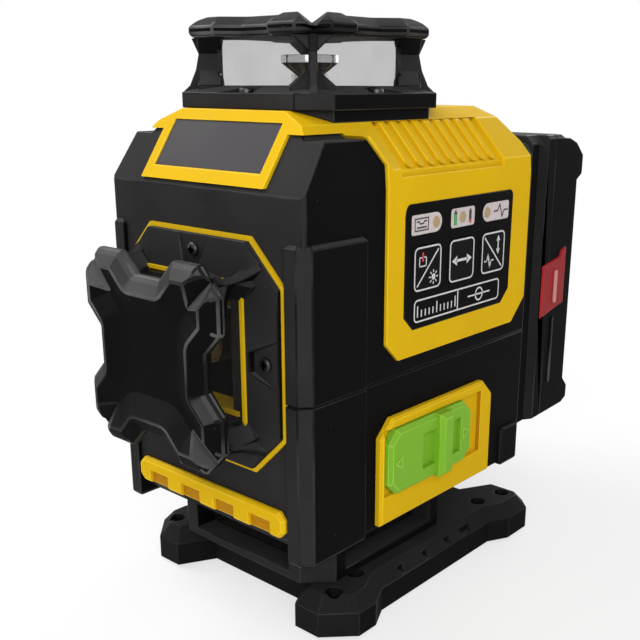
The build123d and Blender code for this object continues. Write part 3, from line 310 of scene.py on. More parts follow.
def moulded(name, base, roughness, specular, spread=0.25, depth=0.025, fleck=0.0, dust=None):
    """Moulded plastic or rubber: cloudy tone, grain with its depth in mm, some flecks, and a paler share from
    the mesh that stands for dust and painted light.
    """
    skin, place = finish(name)
    cloud = skin.noise(place, CLOUD, 3.0)
    grain = skin.noise(place, sizes().grain, 2.0, 0.6)
    tone = skin.mix(cloud, rgba(base, 1 - spread), rgba(base, 1 + spread))
    # Paler where the mesh's layer says: dust with painted sheen and painted highlights, and less of it where
    # shade is painted
    if dust:
        dust_and_light_cover = skin.node("ShaderNodeAttribute", {"attribute_name": "dust"}, out="Fac")
        cover_variation = 0.45 + 0.9 * cloud
        tone = skin.mix(dust_and_light_cover * cover_variation, tone, rgba(dust))
    if fleck:
        dots = (skin.spots(place, FLECK) < fleck) * (skin.noise(place, FLECK_PATCH) > 0.47)
        tone = skin.mix(dots, tone, rgba(paler(base, 5, 0.03)))
    skin.surface({
        "Base Color": tone,
        "Roughness": roughness + 0.22 * (cloud - 0.5) + 0.10 * (grain - 0.5),
        "Specular IOR Level": specular,
        "Normal": skin.bump(grain, depth * MM, 0.5),
    })


def rubbed_and_highlit(name, base, edge_tone, roughness, specular):
    """Edge of a moulding: glossier than its faces, and paled in patches, partly as wear where hands rub and
    partly as a painted highlight.
    """
    skin, place = finish(name)
    grain = skin.noise(place, RUB_GRAIN, 4.0, 0.65)
    patch = skin.held(skin.noise(place, RUB, 2.0) - 0.46, 5.0)
    skin.surface({
        "Base Color": skin.mix(patch * (0.3 + grain), rgba(base, 1.1), rgba(edge_tone)),
        "Roughness": roughness - 0.15 * (grain - 0.5),
        "Specular IOR Level": specular,
        "Normal": skin.bump(grain, 0.03 * MM, 0.3),
    })


def metal(name, base, roughness, lines=TOOL_LINE, metallic=1.0):
    """Turned or drawn metal: fine tool lines, dulled in patches."""
    skin, place = finish(name)
    patch = skin.noise(place, TOOL_PATCH, 3.0)
    drawn = {"Vector": place, "Scale": (0.15, 0.15, 1.0)}
    line = skin.noise(skin.node("ShaderNodeMapping", {"vector_type": "POINT"}, drawn), lines, 2.0)
    skin.surface({
        "Base Color": skin.mix(patch, rgba(base, 0.8), rgba(base, 1.1)),
        "Metallic": metallic,
        "Roughness": roughness + 0.16 * (patch - 0.5) + 0.10 * (line - 0.5),
        "Normal": skin.bump(line, 0.01 * MM, 0.25),
    })


def pane(name, tint, alpha):
    """Clear moulded pane that still takes a sheen, a little hazy in places."""
    skin, place = finish(name)
    haze = skin.noise(place, HAZE, 3.0)
    skin.surface({
        "Base Color": skin.mix(haze, rgba(tint, 0.85), rgba(tint, 1.1)),
        "Roughness": 0.04 + 0.06 * haze,
        "Alpha": alpha + 0.08 * (haze - 0.5),
        "IOR": 1.49,
    })


def printed(name, base):
    """Screen-printed ink, thin in places."""
    skin, place = finish(name)
    thin = skin.noise(place, INK_GRAIN, 3.0)
    skin.surface({
        "Base Color": skin.mix(thin, rgba(base, 0.72), rgba(base, 1.08)),
        "Roughness": 0.42 + 0.2 * (thin - 0.5),
    })


def board_finish(name, base, part):
    """Green board with copper runs and dark parts showing as blocks."""
    skin, place = finish(name)
    cells = skin.spots(place, BOARD_PARTS, distance="CHEBYCHEV")
    runs = skin.noise(place, BOARD_RUNS, 1.0)
    block = cells < 0.22
    tone = skin.mix(block, rgba(base), rgba(part))
    skin.surface({
        "Base Color": skin.mix((runs > 0.60) * (cells > 0.3), tone, rgba(base, 2.6)),
        "Roughness": 0.35 + 0.3 * cells,
        "Normal": skin.bump(block, 0.5 * MM, 0.6),
    })


def make_finishes():
    """All finishes of the level under the record's slot names."""
    tint = bpy.context.scene.level_colours
    # The shell, guard and foot finishes mix in dust and painted light from the mesh
    moulded("black_shell", tint.shell, 0.56, 0.02, fleck=0.05, dust=tint.dust)
    moulded("guard_rubber", tint.guard, 0.58, 0.02, depth=0.022, fleck=0.045, dust=tint.guard_dust)
    moulded("foot_plastic", tint.foot, 0.60, 0.02, fleck=0.05, dust=tint.dust)
    # Slot, colour, roughness, gloss, spread of the tone, depth of the grain in mm
    for row in (
        ("yellow_shell", tint.yellow, 0.52, 0.02, 0.06, 0.03),
        # Painted shade for the yellow shell's pockets and track
        ("yellow_shell_hollow", tint.yellow_painted_shade, 0.60, 0.04, 0.12, 0.03),
        ("yellow_seal", tint.seal, 0.55, 0.05, 0.10, 0.03),
        ("label_grey", tint.label, 0.42, 0.05, 0.10, 0.012),
        ("lime_plastic", tint.lime, 0.42, 0.10, 0.08, 0.02),
        ("red_plastic", tint.red, 0.42, 0.10, 0.15, 0.02),
        ("key_rubber", tint.key, 0.50, 0.03, 0.2, 0.02),
        ("light_lens", tint.lens, 0.25, 0.3, 0.12, 0.01),
        ("inner_plastic", tint.inner, 0.60, 0.06, 0.2, 0.008),
        ("cell_sleeve", tint.sleeve, 0.35, 0.4, 0.1, 0.01),
    ):
        moulded(*row)
    # Slot or edge of a slot, colour, paler colour for wear and painted highlight, roughness, gloss
    for row in (
        ("black_shell_edge", tint.shell, tint.shell_worn_and_highlight, 0.38, 0.09),
        ("guard_rubber_edge", tint.guard, tint.guard_worn_and_highlight, 0.38, 0.09),
        ("foot_plastic_edge", tint.foot, tint.shell_worn_and_highlight, 0.42, 0.08),
        ("yellow_shell_edge", tint.yellow, tint.yellow_worn_and_highlight, 0.42, 0.08),
        ("label_grey_edge", tint.label, paler(tint.label, 2), 0.42, 0.12),
        ("lime_plastic_edge", tint.lime, tint.lime_worn_and_highlight, 0.34, 0.16),
        ("red_plastic_edge", tint.red, paler(tint.red, 1.9, 0.02), 0.36, 0.16),
        # Painted highlight colour for the latch's finger rib
        ("latch_rib", tint.rib, tint.rib, 0.40, 0.15),
        ("key_rubber_edge", tint.key, tint.shell_worn_and_highlight, 0.38, 0.12),
    ):
        rubbed_and_highlit(*row)
    metal("bare_aluminium", tint.metal, 0.34)
    metal("brass_weight", tint.brass, 0.36)
    metal("steel", tint.steel, 0.36, lines=1500.0, metallic=0.9)
    metal("cone_mirror", tint.mirror, 0.12, lines=2500.0)
    pane("clear_pane", tint.glass, 0.16)
    board_finish("circuit_board", tint.board, tint.board_part)
    for name, base in (("white_ink", tint.ink), ("plate_ink", tint.plate), ("green_ink", tint.ink_green),
                       ("red_ink", tint.ink_red), ("dark_ink", tint.shell)):
        printed(name, base)


def of_kind(items, kind):
    """Those of an operator's results that are of one kind."""
    return [item for item in items if isinstance(item, kind)]


def linked(verts, kind):
    """Edges or faces at these points, each once."""
    return list(dict.fromkeys(item for vert in verts for item in getattr(vert, kind)))


def rounded(bm, geom, offset, segments=2, affect="EDGES"):
    """Rounds edges or corners."""
    return bmesh.ops.bevel(bm, geom=geom, offset=offset, offset_type="OFFSET", affect=affect,
                           segments=segments, profile=0.5, material=-1)


def raised(bm, faces, rise):
    """Draws flat faces along Z and gives the points that moved."""
    made = bmesh.ops.extrude_face_region(bm, geom=faces)["geom"]
    top = of_kind(made, bmesh.types.BMVert)
    bmesh.ops.translate(bm, verts=top, vec=(0, 0, rise))
    return top


def turned(bm, edges, wide, rows):
    """Draws a ring of edges on through rows of radius and rise, and closes its end."""
    for radius, rise in rows:
        made = bmesh.ops.extrude_edge_only(bm, edges=edges)["geom"]
        edges = of_kind(made, bmesh.types.BMEdge)
        verts = of_kind(made, bmesh.types.BMVert)
        bmesh.ops.scale(bm, verts=verts, vec=(radius / wide, radius / wide, 1))
        bmesh.ops.translate(bm, verts=verts, vec=(0, 0, rise))
        wide = radius
    bmesh.ops.edgeloop_fill(bm, edges=edges)
    bmesh.ops.recalc_face_normals(bm, faces=bm.faces)


def merged(node):
    """Copy of a solid's mesh with its loose triangles joined."""
    bm = bmesh.new()
    bm.from_mesh(frame["nodes"][node].data)
    bmesh.ops.remove_doubles(bm, verts=bm.verts, dist=JOIN)
    return bm


def middle(node):
    """Middle of a node's box."""
    low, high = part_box(node)
    return (low + high) / 2


def paint(obj, *names):
    """Gives an object these finishes in order."""
    if obj.data.materials:
        obj.data.materials.clear()
    for name in names:
        obj.data.materials.append(LOOKS[name])


def finished(bm, name, body, slot, *finishes, smooth=40.0):
    """Turns a mesh in the making into a piece that rides on a body, in its slot's finish or its own."""
    mesh = bpy.data.meshes.new(name)
    bm.to_mesh(mesh)
    bm.free()
    mesh.shade_smooth()
    mesh.set_sharp_from_angle(angle=radians(smooth))
    piece = bpy.data.objects.new(name, mesh)
    bpy.context.scene.collection.objects.link(piece)
    paint(piece, *(finishes or [slot]))
    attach(piece, body)
    return piece


def dust_and_light_share(at, normal):
    """Share of dust and painted light on a face: dust with a painted sheen where it looks up, a painted
    highlight on a chamfer and painted light on the front.
    """
    slant = 1.0 - max(map(abs, normal))
    return max(THICK_UP * (normal.z - LEAN_UP), THICK_SLANT * slant if normal.z > LEAN_SLANT else 0.0,
               THICK_FRONT * (-normal.y - LEAN_FRONT))


def foot_share_in_painted_shade(at, normal):
    """Share of dust and painted light on the foot, cut down as painted shade under the housing."""
    return FOOT_SHARE_IN_PAINTED_SHADE * dust_and_light_share(at, normal)


def softened(node, round_off, hollow=None, smooth=30.0, share=dust_and_light_share):
    """Stands in for a solid: the same shape with rounded edges paled as wear and painted highlight, dust and
    painted light on its faces, and painted shade on the faces that the shade test picks.
    """
    slot = SLOT_OF[node]
    bm = merged(node)
    bmesh.ops.dissolve_limit(bm, angle_limit=FLAT, verts=bm.verts, edges=bm.edges)
    shortest = min(1.2 * round_off, sizes().shortest)
    edges = [edge for edge in bm.edges if edge.is_manifold and edge.is_convex
             and edge.calc_face_angle() > KEEN and edge.calc_length() > shortest]
    # Each face's share of dust and painted light
    dust = bm.faces.layers.float.new("dust")
    rims = set(rounded(bm, edges, round_off)["faces"])
    finishes = [slot, slot + "_edge" if slot + "_edge" in LOOKS else slot]
    if hollow:
        finishes.append(slot + "_hollow")
    for face in bm.faces:
        at, normal = face.calc_center_median(), face.normal
        face[dust] = max(0.0, min(1.0, share(at, normal)))
        # Index 2 paints shade on the faces the test picks, index 1 takes the paler edge finish
        face.material_index = 2 if hollow and hollow(at, normal) else int(face in rims)
    bmesh.ops.dissolve_degenerate(bm, dist=SLIVER, edges=bm.edges)
    piece = finished(bm, node + "_skin", BODY_OF[node], slot, *finishes, smooth=smooth)
    weigh = piece.modifiers.new("weighted_normals", "WEIGHTED_NORMAL")
    weigh.keep_sharp = True
    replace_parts(piece, node)


class Sheet:
    """Flat artwork on an upright face that looks along X or Y: u runs across it and v along Z, in metres."""

    def __init__(self, face, film=None, side=1, axis=0):
        self.bm = bmesh.new()
        self.film = film or sizes().film
        self.place = Matrix.Identity(4)
        for row in range(3):
            self.place[row] = (row == 1 - axis, row == 2, side * (row == axis), face * (row == axis))

    def lay(self, verts, u, v, turn, ink, layer):
        """Gives a flat shape its height and ink, turns it about its own middle and puts it at u, v."""
        faces = linked(verts, "link_faces")
        for face in faces:
            face.material_index = ink
        whole = list(dict.fromkeys(verts + raised(self.bm, faces, self.film)))
        bmesh.ops.rotate(self.bm, verts=whole, cent=(0, 0, 0), matrix=Matrix.Rotation(turn, 3, "Z"))
        bmesh.ops.translate(self.bm, verts=whole, vec=(u, v, layer * self.film))

    def outline(self, verts, line):
        """Takes the middle out of a flat shape and leaves a line of that width."""
        face = verts[0].link_faces[0]
        bmesh.ops.inset_region(self.bm, faces=[face], thickness=line, use_even_offset=True, use_boundary=True)
        ring = dict.fromkeys(vert for edge in face.edges for side in edge.link_faces for vert in side.verts)
        bmesh.ops.delete(self.bm, geom=[face], context="FACES_ONLY")
        return list(ring)

    def bar(self, u, v, wide, high, turn=0.0, ink=0, corner=0.0, ends=None, line=0.0, layer=0):
        """Rectangle with rounded corners, alike or of two radii at its ends, whole or as an outline."""
        size = Matrix.Diagonal((wide, high, 1, 1))
        verts = bmesh.ops.create_grid(self.bm, x_segments=1, y_segments=1, size=0.5, matrix=size)["verts"]
        sides = [[vert for vert in verts if vert.co.x < 0], [vert for vert in verts if vert.co.x > 0]]
        verts = []
        for side, radius in zip(sides, ends or (corner, corner)):
            verts += rounded(self.bm, side, radius, 6, "VERTICES")["verts"] if radius else side
        if line:
            verts = self.outline(verts, line)
        self.lay(verts, u, v, turn, ink, layer)

    def disc(self, u, v, radius, sides=32, turn=0.0, line=0.0):
        """Round or regular shape, whole or as an outline."""
        verts = bmesh.ops.create_circle(self.bm, cap_ends=True, segments=sides, radius=radius)["verts"]
        if line:
            verts = self.outline(verts, line)
        self.lay(verts, u, v, turn, 0, 0)

    def run(self, u, v, points, stroke, ink=0, layer=0):
        """Line of bars through these points, each a little longer than its run so that they join."""
        for (a, b), (c, d) in zip(points, points[1:]):
            span = Vector((c - a, d - b))
            turn = Vector((1, 0)).angle_signed(span, 0)
            long = span.length + 0.8 * stroke
            self.bar(u + (a + c) / 2, v + (b + d) / 2, long, stroke, -turn, ink, layer=layer)

    def arrow(self, u, v, reach, turn, stroke):
        """Double-headed arrow about its middle."""
        head = 2.1 * stroke
        self.bar(u, v, 2 * reach - 4 * stroke, stroke, turn)
        for way in (0.0, pi):
            tip = Vector((cos(turn + way), sin(turn + way))) * (reach - 1.6 * stroke)
            self.disc(u + tip.x, v + tip.y, head, 3, turn + way - pi / 2)

    def sun(self, u, v, radius, stroke, rays=8):
        """Small lamp mark with rays."""
        core, ray, ray_at = 0.42 * radius, 0.4 * radius, 0.8 * radius
        self.disc(u, v, core, 20)
        for step in range(rays):
            way = step * 2 * pi / rays
            self.bar(u + cos(way) * ray_at, v + sin(way) * ray_at, ray, stroke, way)

    def pulse(self, u, v, wide, high, stroke, ink=0, layer=0):
        """Beat line for pulse mode."""
        beat = ((-0.5, 0), (-0.25, 0), (-0.1, 0.5), (0.1, -0.5), (0.25, 0), (0.5, 0))
        self.run(u, v, [(x * wide, y * high) for x, y in beat], stroke, ink, layer)

    def cell(self, u, v, wide, high, ink, charge, charge_ink, layer):
        """Upright cell with a cap, filled to its charge."""
        cap_wide, cap_high = 0.5 * wide, 0.4 * wide
        full = high * charge
        self.bar(u, v + high / 2 + cap_high / 2, cap_wide, cap_high, ink=ink, layer=layer)
        self.bar(u, v + full / 2, wide, high - full, ink=ink, layer=layer)
        self.bar(u, v - high / 2 + full / 2, wide, full, ink=charge_ink, layer=layer)

    def done(self, name, body, slot, *finishes, round_off=0.0):
        """Stands the artwork on its face, its rims rounded where it is thick."""
        bmesh.ops.transform(self.bm, matrix=self.place, verts=self.bm.verts)
        bmesh.ops.recalc_face_normals(self.bm, faces=self.bm.faces)
        if round_off:
            rims = [edge for edge in self.bm.edges if edge.calc_face_angle() > radians(40)]
            rounded(self.bm, rims, round_off)
        finished(self.bm, name, body, slot, *finishes, smooth=30.0)


def lamp_row():
    """Radius of the panel's lamps, their height and their three places along the panel."""
    low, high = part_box("indicator_windows")
    radius = (high.z - low.z) / 2
    return radius, (low.z + high.z) / 2, (low.y + radius, (low.y + high.y) / 2, high.y - radius)


class LEVEL_OT_inner(Operator):
    """Coat the solids, such as glazing, boards and gimbal, and round the mirrors and the clear tubes"""

    bl_idname = "level.inner"
    bl_label = "Glazing and inner works"

    def execute(self, context):
        for node, obj in frame["nodes"].items():
            paint(obj, SLOT_OF[node])
        for node in ("cone_mirrors", "clear_tubes"):
            softened(node, sizes().fine_edge)
        return {"FINISHED"}


class LEVEL_OT_shells(Operator):
    """Round the housing, the turret frames, the neck, the battery cases and the panel, with edges paled as
    wear and painted highlight
    """

    bl_idname = "level.shells"
    bl_label = "Black shells"

    def execute(self, context):
        for node in ("upper_housing", "lower_housing", "front_turret_bezel", "left_turret_bezel",
                     "top_turret_frame", "neck_turret", "battery_case_front", "battery_case_back",
                     "control_panel"):
            softened(node, sizes().edge)
        return {"FINISHED"}


class LEVEL_OT_guards(Operator):
    """Round the rubber guards of the turrets, with edges paled as wear and painted highlight"""

    bl_idname = "level.guards"
    bl_label = "Turret guards"

    def execute(self, context):
        for node, facet_dust_and_light in GUARD_DUST_AND_HIGHLIGHT.items():
            softened(node, sizes().guard_edge, smooth=14.0, share=self.polish(node, facet_dust_and_light))
        return {"FINISHED"}

    def polish(self, node, facet_dust_and_light):
        """Dust and painted highlight on the facets that look up and slope to the rim, and little in the dish.
        """
        low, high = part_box(node)
        axis = min(range(3), key=lambda k: high[k] - low[k])

        def share(at, normal):
            out = at - (low + high) / 2
            out[axis] = 0
            return facet_dust_and_light * (normal.z - LEAN_UP) * (1.0 if normal.dot(out) > 0 else DISH_SHARE)
        return share


class LEVEL_OT_foot(Operator):
    """Round the foot plate and its pads, and cut the tripod's thread"""

    bl_idname = "level.foot"
    bl_label = "Foot plate"

    def execute(self, context):
        for node in ("foot_plate", "rubber_feet"):
            # Less dust and painted light on the foot and its pads, as painted shade under the housing
            softened(node, sizes().fine_edge, share=foot_share_in_painted_shade)
        self.insert()
        return {"FINISHED"}

    def insert(self, around=36, rim_sides=48, spare=2):
        """Brass insert, its thread cut from a coil with spare turns at both ends."""
        size = sizes()
        low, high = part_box("tripod_insert")
        pitch = size.thread_pitch
        mouth_deep, mouth_wide, brink = 0.7 * MM, 0.4 * MM, 0.3 * MM
        bottom, top = low.z + mouth_deep, low.z + size.thread_deep
        bm = bmesh.new()
        line = []
        for step in range(2 * (int(size.thread_deep / pitch) + 2 * spare)):
            radius = size.thread_root if step % 2 else size.thread_crest
            line.append(bm.verts.new((radius, 0, low.z + (step / 2 - spare) * pitch)))
        line += [bm.edges.new(pair) for pair in zip(line, line[1:])]
        bmesh.ops.spin(bm, geom=line, cent=(0, 0, 0), axis=(0, 0, 1), dvec=(0, 0, pitch / around),
                       angle=2 * pi, steps=around, use_merge=False)
        bmesh.ops.remove_doubles(bm, verts=bm.verts, dist=0.01 * MM)
        for z, above in ((bottom, False), (top, True)):
            bmesh.ops.bisect_plane(bm, geom=bm.verts[:] + bm.edges[:] + bm.faces[:], dist=0.001 * MM,
                                   plane_co=(0, 0, z), plane_no=(0, 0, 1), clear_outer=above,
                                   clear_inner=not above)
        rims = [edge for edge in bm.edges if edge.is_boundary]
        half = low.z + size.thread_deep / 2
        bmesh.ops.holes_fill(bm, edges=[edge for edge in rims if edge.verts[0].co.z > half], sides=0)
        lower = [edge for edge in rims if edge.verts[0].co.z < half]
        mouth = size.thread_root + mouth_wide
        ring = bmesh.ops.create_circle(bm, segments=rim_sides, radius=mouth,
                                       matrix=Matrix.Translation((0, 0, low.z)))["verts"]
        edges = linked(ring, "link_edges")
        bmesh.ops.bridge_loops(bm, edges=lower + edges)
        turned(bm, edges, mouth, ((high.x - brink, 0.0), (high.x, brink),
                                  (high.x, high.z - low.z - brink)))
        piece = finished(bm, "threaded_insert", BODY_OF["tripod_insert"], "brass_weight", smooth=30.0)
        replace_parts(piece, "tripod_insert")


class LEVEL_OT_saddle(Operator):
    """Round the yellow shell, its bar, the lock's frame and the label plate, with painted shade in the bar's
    pockets and at the far end of the slider's track
    """

    bl_idname = "level.saddle"
    bl_label = "Yellow shell"

    def execute(self, context):
        size = sizes()
        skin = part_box("bumper_bar")[0].y + 0.5 * MM
        slot_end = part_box("lock_bezel")[1].y - 9.0 * MM
        softened("saddle", size.edge)
        # Painted shade on the faces that look to the front inside the bar's pockets and at the far end of the
        # lock frame's track
        softened("bumper_bar", size.edge, lambda at, normal: at.y > skin and normal.y < -STRAIGHT)
        softened("lock_bezel", size.fine_edge, lambda at, normal: at.y > slot_end and normal.y < -STRAIGHT)
        softened("label_plate", size.fine_edge)
        return {"FINISHED"}


class LEVEL_OT_ledges(Operator):
    """Lay an amber ledge at the foot of the light shaft behind each side window"""

    bl_idname = "level.ledges"
    bl_label = "Window ledges"

    def execute(self, context):
        size = sizes()
        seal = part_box("window_seals")[0]
        lip = 0.9 * MM
        half = ((size.ledge_lip, 0.0), (size.ledge_lip, lip), (size.ledge_half, lip),
                (size.ledge_half, size.ledge_deep))
        plan = [*half, *[(-u, w) for u, w in reversed(half)]]
        for side, turn in (("front", 0.0), ("left", -pi / 2)):
            core = middle(side + "_turret_bezel")
            foot = Vector((seal.x, core.y, 0)) if turn else Vector((core.x, seal.y, 0))
            foot.z = core.z - size.ledge_half
            bm = bmesh.new()
            raised(bm, [bm.faces.new([bm.verts.new((u, w, 0)) for u, w in plan])], size.ledge)
            bmesh.ops.recalc_face_normals(bm, faces=bm.faces)
            rounded(bm, [edge for edge in bm.edges if edge.is_convex], size.fine_edge)
            stand = Matrix.Translation(foot) @ Matrix.Rotation(turn, 4, "Z")
            bmesh.ops.transform(bm, matrix=stand, verts=bm.verts)
            finished(bm, side + "_window_ledge", "housing", "yellow_seal")
        return {"FINISHED"}


class LEVEL_OT_controls(Operator):
    """Round the keys, the lock slider and the battery latches, and add their ribs, marks and lamps"""

    bl_idname = "level.controls"
    bl_label = "Keys, slider and latches"

    def execute(self, context):
        for node in ("key_power", "key_horizontal", "key_vertical", "lock_slider", "battery_latch_left",
                     "battery_latch_right"):
            softened(node, sizes().fine_edge)
        self.slider_marks()
        self.lamps()
        self.ribs("right", 1)
        self.ribs("left", -1)
        return {"FINISHED"}

    def slider_marks(self, rise=0.25 * MM, inset=4.4 * MM, radius=2.6 * MM, line=0.55 * MM):
        """Raised arrow heads at both ends of the lock slider."""
        low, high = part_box("lock_slider")
        art = Sheet(high.x - sizes().ridge, rise)
        for u, turn in ((low.y + inset, pi / 2), (high.y - inset, -pi / 2)):
            art.disc(u, (low.z + high.z) / 2, radius, 3, turn, line=line)
        art.done("slider_marks", "lock", "lime_plastic", "lime_plastic_edge")

    def lamps(self, sides=28):
        """Low domes of the three lamps."""
        low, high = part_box("indicator_windows")
        radius, z, places = lamp_row()
        dome = sizes().dome
        deep = high.x - low.x + dome
        bm = bmesh.new()
        for y in places:
            stand = Matrix.Translation((low.x + deep / 2, y, z)) @ Matrix.Rotation(pi / 2, 4, "Y")
            verts = bmesh.ops.create_cone(bm, cap_ends=True, segments=sides, radius1=radius, radius2=radius,
                                          depth=deep, matrix=stand)["verts"]
            outer = [vert for vert in verts if vert.co.x > high.x]
            rim = [edge for edge in bm.edges if edge.verts[0] in outer and edge.verts[1] in outer]
            rounded(bm, rim, 0.9 * dome, 3)
        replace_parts(finished(bm, "lamp_domes", "housing", "light_lens"), "indicator_windows")

    def ribs(self, hand, side):
        """Finger rib on a latch and the long rib of the case under it."""
        latch = "battery_latch_" + hand
        u, v = middle(latch).yz
        # Both ribs take a paler finish as a painted highlight along them
        # Node that carries it, piece, body, slot, finish, place, width, height and corner of the rib in mm
        for node, name, body, slot, look, place, wide, high, corner in (
                (latch, latch + "_rib", BODY_OF[latch], "red_plastic", "latch_rib",
                 (u + 0.6 * MM, v - 1.5 * MM), 2.2, 12.5, 1.0),
                ("battery_case_back", "case_rib_" + hand, "battery", "black_shell", "guard_rubber_edge",
                 (u + 1.4 * MM, 66.0 * MM), 1.4, 26.0, 0.6)):
            low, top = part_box(node)
            art = Sheet(top.x if side > 0 else low.x, sizes().rib, side)
            art.bar(*place, wide * MM, high * MM, corner=corner * MM)
            art.done(name, body, slot, look, round_off=0.15 * MM)


class LEVEL_OT_pack(Operator):
    """Give the back of the battery its grip ribs, its side pads and its bare plate"""

    bl_idname = "level.pack"
    bl_label = "Battery back"

    def execute(self, context):
        square = 0.99
        walls = frame["nodes"]["battery_case_back"].data.polygons
        walls = [wall for wall in walls if wall.normal.y > square]
        face = max(walls, key=lambda wall: wall.area).center.y
        low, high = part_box("battery_case_back")
        self.grip(face, high.x - low.x, high.z)
        self.plate(face, high.z - 70.0 * MM)
        return {"FINISHED"}

    def grip(self, face, wide, top, ribs=6):
        """Row of finger ribs between two upright pads."""
        grip = sizes().grip
        first, pitch, rib_wide = top - 21.5 * MM, 2.7 * grip, 0.60 * wide
        pad_at, pad_wide, pad_mid, pad_high = 0.42 * wide, 3.2 * grip, top - 56.0 * MM, 68.0 * MM
        art = Sheet(face, 1.3 * grip, axis=1)
        for step in range(ribs):
            art.bar(0.0, first - pitch * step, rib_wide, grip, corner=0.4 * grip)
        for side in (-1, 1):
            art.bar(side * pad_at, pad_mid, pad_wide, pad_high, corner=grip)
        art.done("pack_grip", "battery", "black_shell", "black_shell_edge", round_off=0.22 * grip)

    def plate(self, face, v):
        """Bare plate in a raised rim."""
        # Piece, slot, finish, then rise, width, height, corner, line and round in mm
        for name, slot, look, rise, wide, high, corner, line, round_off in (
                ("pack_plate_rim", "black_shell", "black_shell_edge", 0.8, 52.0, 36.0, 3.4, 1.4, 0.25),
                ("pack_plate", "label_grey", "label_grey", 0.4, 48.0, 32.0, 1.8, 0.0, 0.12)):
            art = Sheet(face, rise * MM, axis=1)
            art.bar(0.0, v, wide * MM, high * MM, corner=corner * MM, line=line * MM)
            art.done(name, "battery", slot, look, round_off=round_off * MM)


class LEVEL_OT_prints(Operator):
    """Print the marks of the panel and the keys"""

    bl_idname = "level.prints"
    bl_label = "Printed marks"

    def execute(self, context):
        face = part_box("control_panel")[1].x
        self.badges(face)
        self.rule(face)
        for node, mark in (("key_power", self.power_mark), ("key_horizontal", self.level_mark),
                           ("key_vertical", self.plumb_mark)):
            self.key(node, mark)
        return {"FINISHED"}

    def badges(self, face):
        """Pale plates round the three lamps, with a vial, two cells and a beat line."""
        v, (left, mid, right) = lamp_row()[1:]
        tall = sizes().badge
        end = tall / 2 - 0.02 * MM
        dark, green, red, over = 1, 2, 3, 1
        art = Sheet(face)
        # Lamp, step from it to the plate's middle and width of the plate in mm, rounds of its two ends
        for lamp, step, wide, ends in ((left, -4.7, 15.2, (0.7 * MM, end)),
                                       (mid, 0.2, 12.9, (1.0 * MM, 1.0 * MM)),
                                       (right, 5.2, 15.6, (end, 0.9 * MM))):
            art.bar(lamp + step * MM, v, wide * MM, tall, ends=ends)
        vial, thin = left - 7.4 * MM, 0.40 * MM
        art.bar(vial, v, 7.0 * MM, 4.0 * MM, ink=dark, line=thin, layer=over)
        sag = ((-2.4, 0.9), (-1.3, 0.9), (-0.8, 0.2), (0.8, 0.2), (1.3, 0.9), (2.4, 0.9))
        art.run(vial, v, [(x * MM, y * MM) for x, y in sag], thin, dark, over)
        art.bar(vial, v - 0.9 * MM, 4.8 * MM, 0.5 * MM, ink=dark, layer=over)
        for step, wide, charge, ink in ((-4.0, 1.7, 0.85, green), (4.2, 1.4, 0.25, red)):
            art.cell(mid + step * MM, v - 0.2 * MM, wide * MM, 4.0 * MM, dark, charge, ink, over)
        art.pulse(right + 8.2 * MM, v, 8.2 * MM, 4.2 * MM, 0.5 * MM, dark, over)
        art.done("panel_badges", "housing", "key_rubber", "plate_ink", "dark_ink", "green_ink", "red_ink")

    def rule(self, face, ticks=11, drop=26.5 * MM):
        """Frame of two cells at the foot of the panel: a short rule, and a ring on a line."""
        v, (_, mid, _) = lamp_row()[1:]
        foot = v - drop
        stroke = sizes().stroke
        art = Sheet(face)
        art.bar(mid - 0.5 * MM, foot, 47.7 * MM, 7.2 * MM, corner=1.6 * MM, line=stroke)
        art.bar(mid - 1.1 * MM, foot, stroke, 6.4 * MM)
        first, pitch, base = mid - 22.5 * MM, 2.0 * MM, foot - 2.0 * MM
        for step in range(ticks):
            tick = (3.6 if step % 5 == 0 else 2.2) * MM
            art.bar(first + pitch * step, base + tick / 2, stroke, tick)
        ring = mid + 11.2 * MM
        art.disc(ring, foot, 2.3 * MM, line=stroke)
        art.bar(ring, foot, 13.0 * MM, stroke)
        art.done("panel_frame", "housing", "key_rubber", "white_ink")

    def key(self, node, mark, margin=0.4 * MM, corner=1.9 * MM, clear=1.6 * MM):
        """Outline and mark of a key."""
        low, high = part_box(node)
        y, z = middle(node).yz
        wide, tall = high.y - low.y - margin, high.z - low.z - margin
        art = Sheet(high.x)
        art.bar(y, z, wide, tall, corner=corner, line=sizes().stroke)
        mark(art, y, z, wide / 2 - clear, tall / 2 - clear)
        art.done(node + "_print", BODY_OF[node], "key_rubber", "white_ink", "red_ink")

    def power_mark(self, art, y, z, across, up):
        """Switch and lamp, parted by a slash."""
        stroke = sizes().stroke
        art.run(y, z, [(-across, -up), (across, up)], stroke)
        u, v = y - 2.6 * MM, z + 2.3 * MM
        hook = ((-0.7, 1.2), (-1.7, 1.2), (-1.7, -1.5), (1.7, -1.5), (1.7, 1.2), (0.7, 1.2))
        art.run(u, v, [(a * MM, b * MM) for a, b in hook], 0.8 * stroke)
        art.bar(u, v + 1.3 * MM, 0.8 * MM, 2.7 * MM, ink=1)
        art.sun(y + 3.0 * MM, z - 3.2 * MM, 2.3 * MM, 0.8 * stroke)

    def level_mark(self, art, y, z, across, up):
        """Arrow along the level line."""
        art.arrow(y, z, 5.0 * MM, 0.0, 1.7 * sizes().stroke)

    def plumb_mark(self, art, y, z, across, up):
        """Upright arrow and beat line, parted by a slash."""
        stroke = sizes().stroke
        art.run(y, z, [(-across, up), (across, -up)], stroke)
        art.arrow(y + 2.9 * MM, z + 2.2 * MM, 2.9 * MM, pi / 2, 1.2 * stroke)
        art.pulse(y - 2.4 * MM, z - 2.6 * MM, 5.2 * MM, 4.4 * MM, stroke)


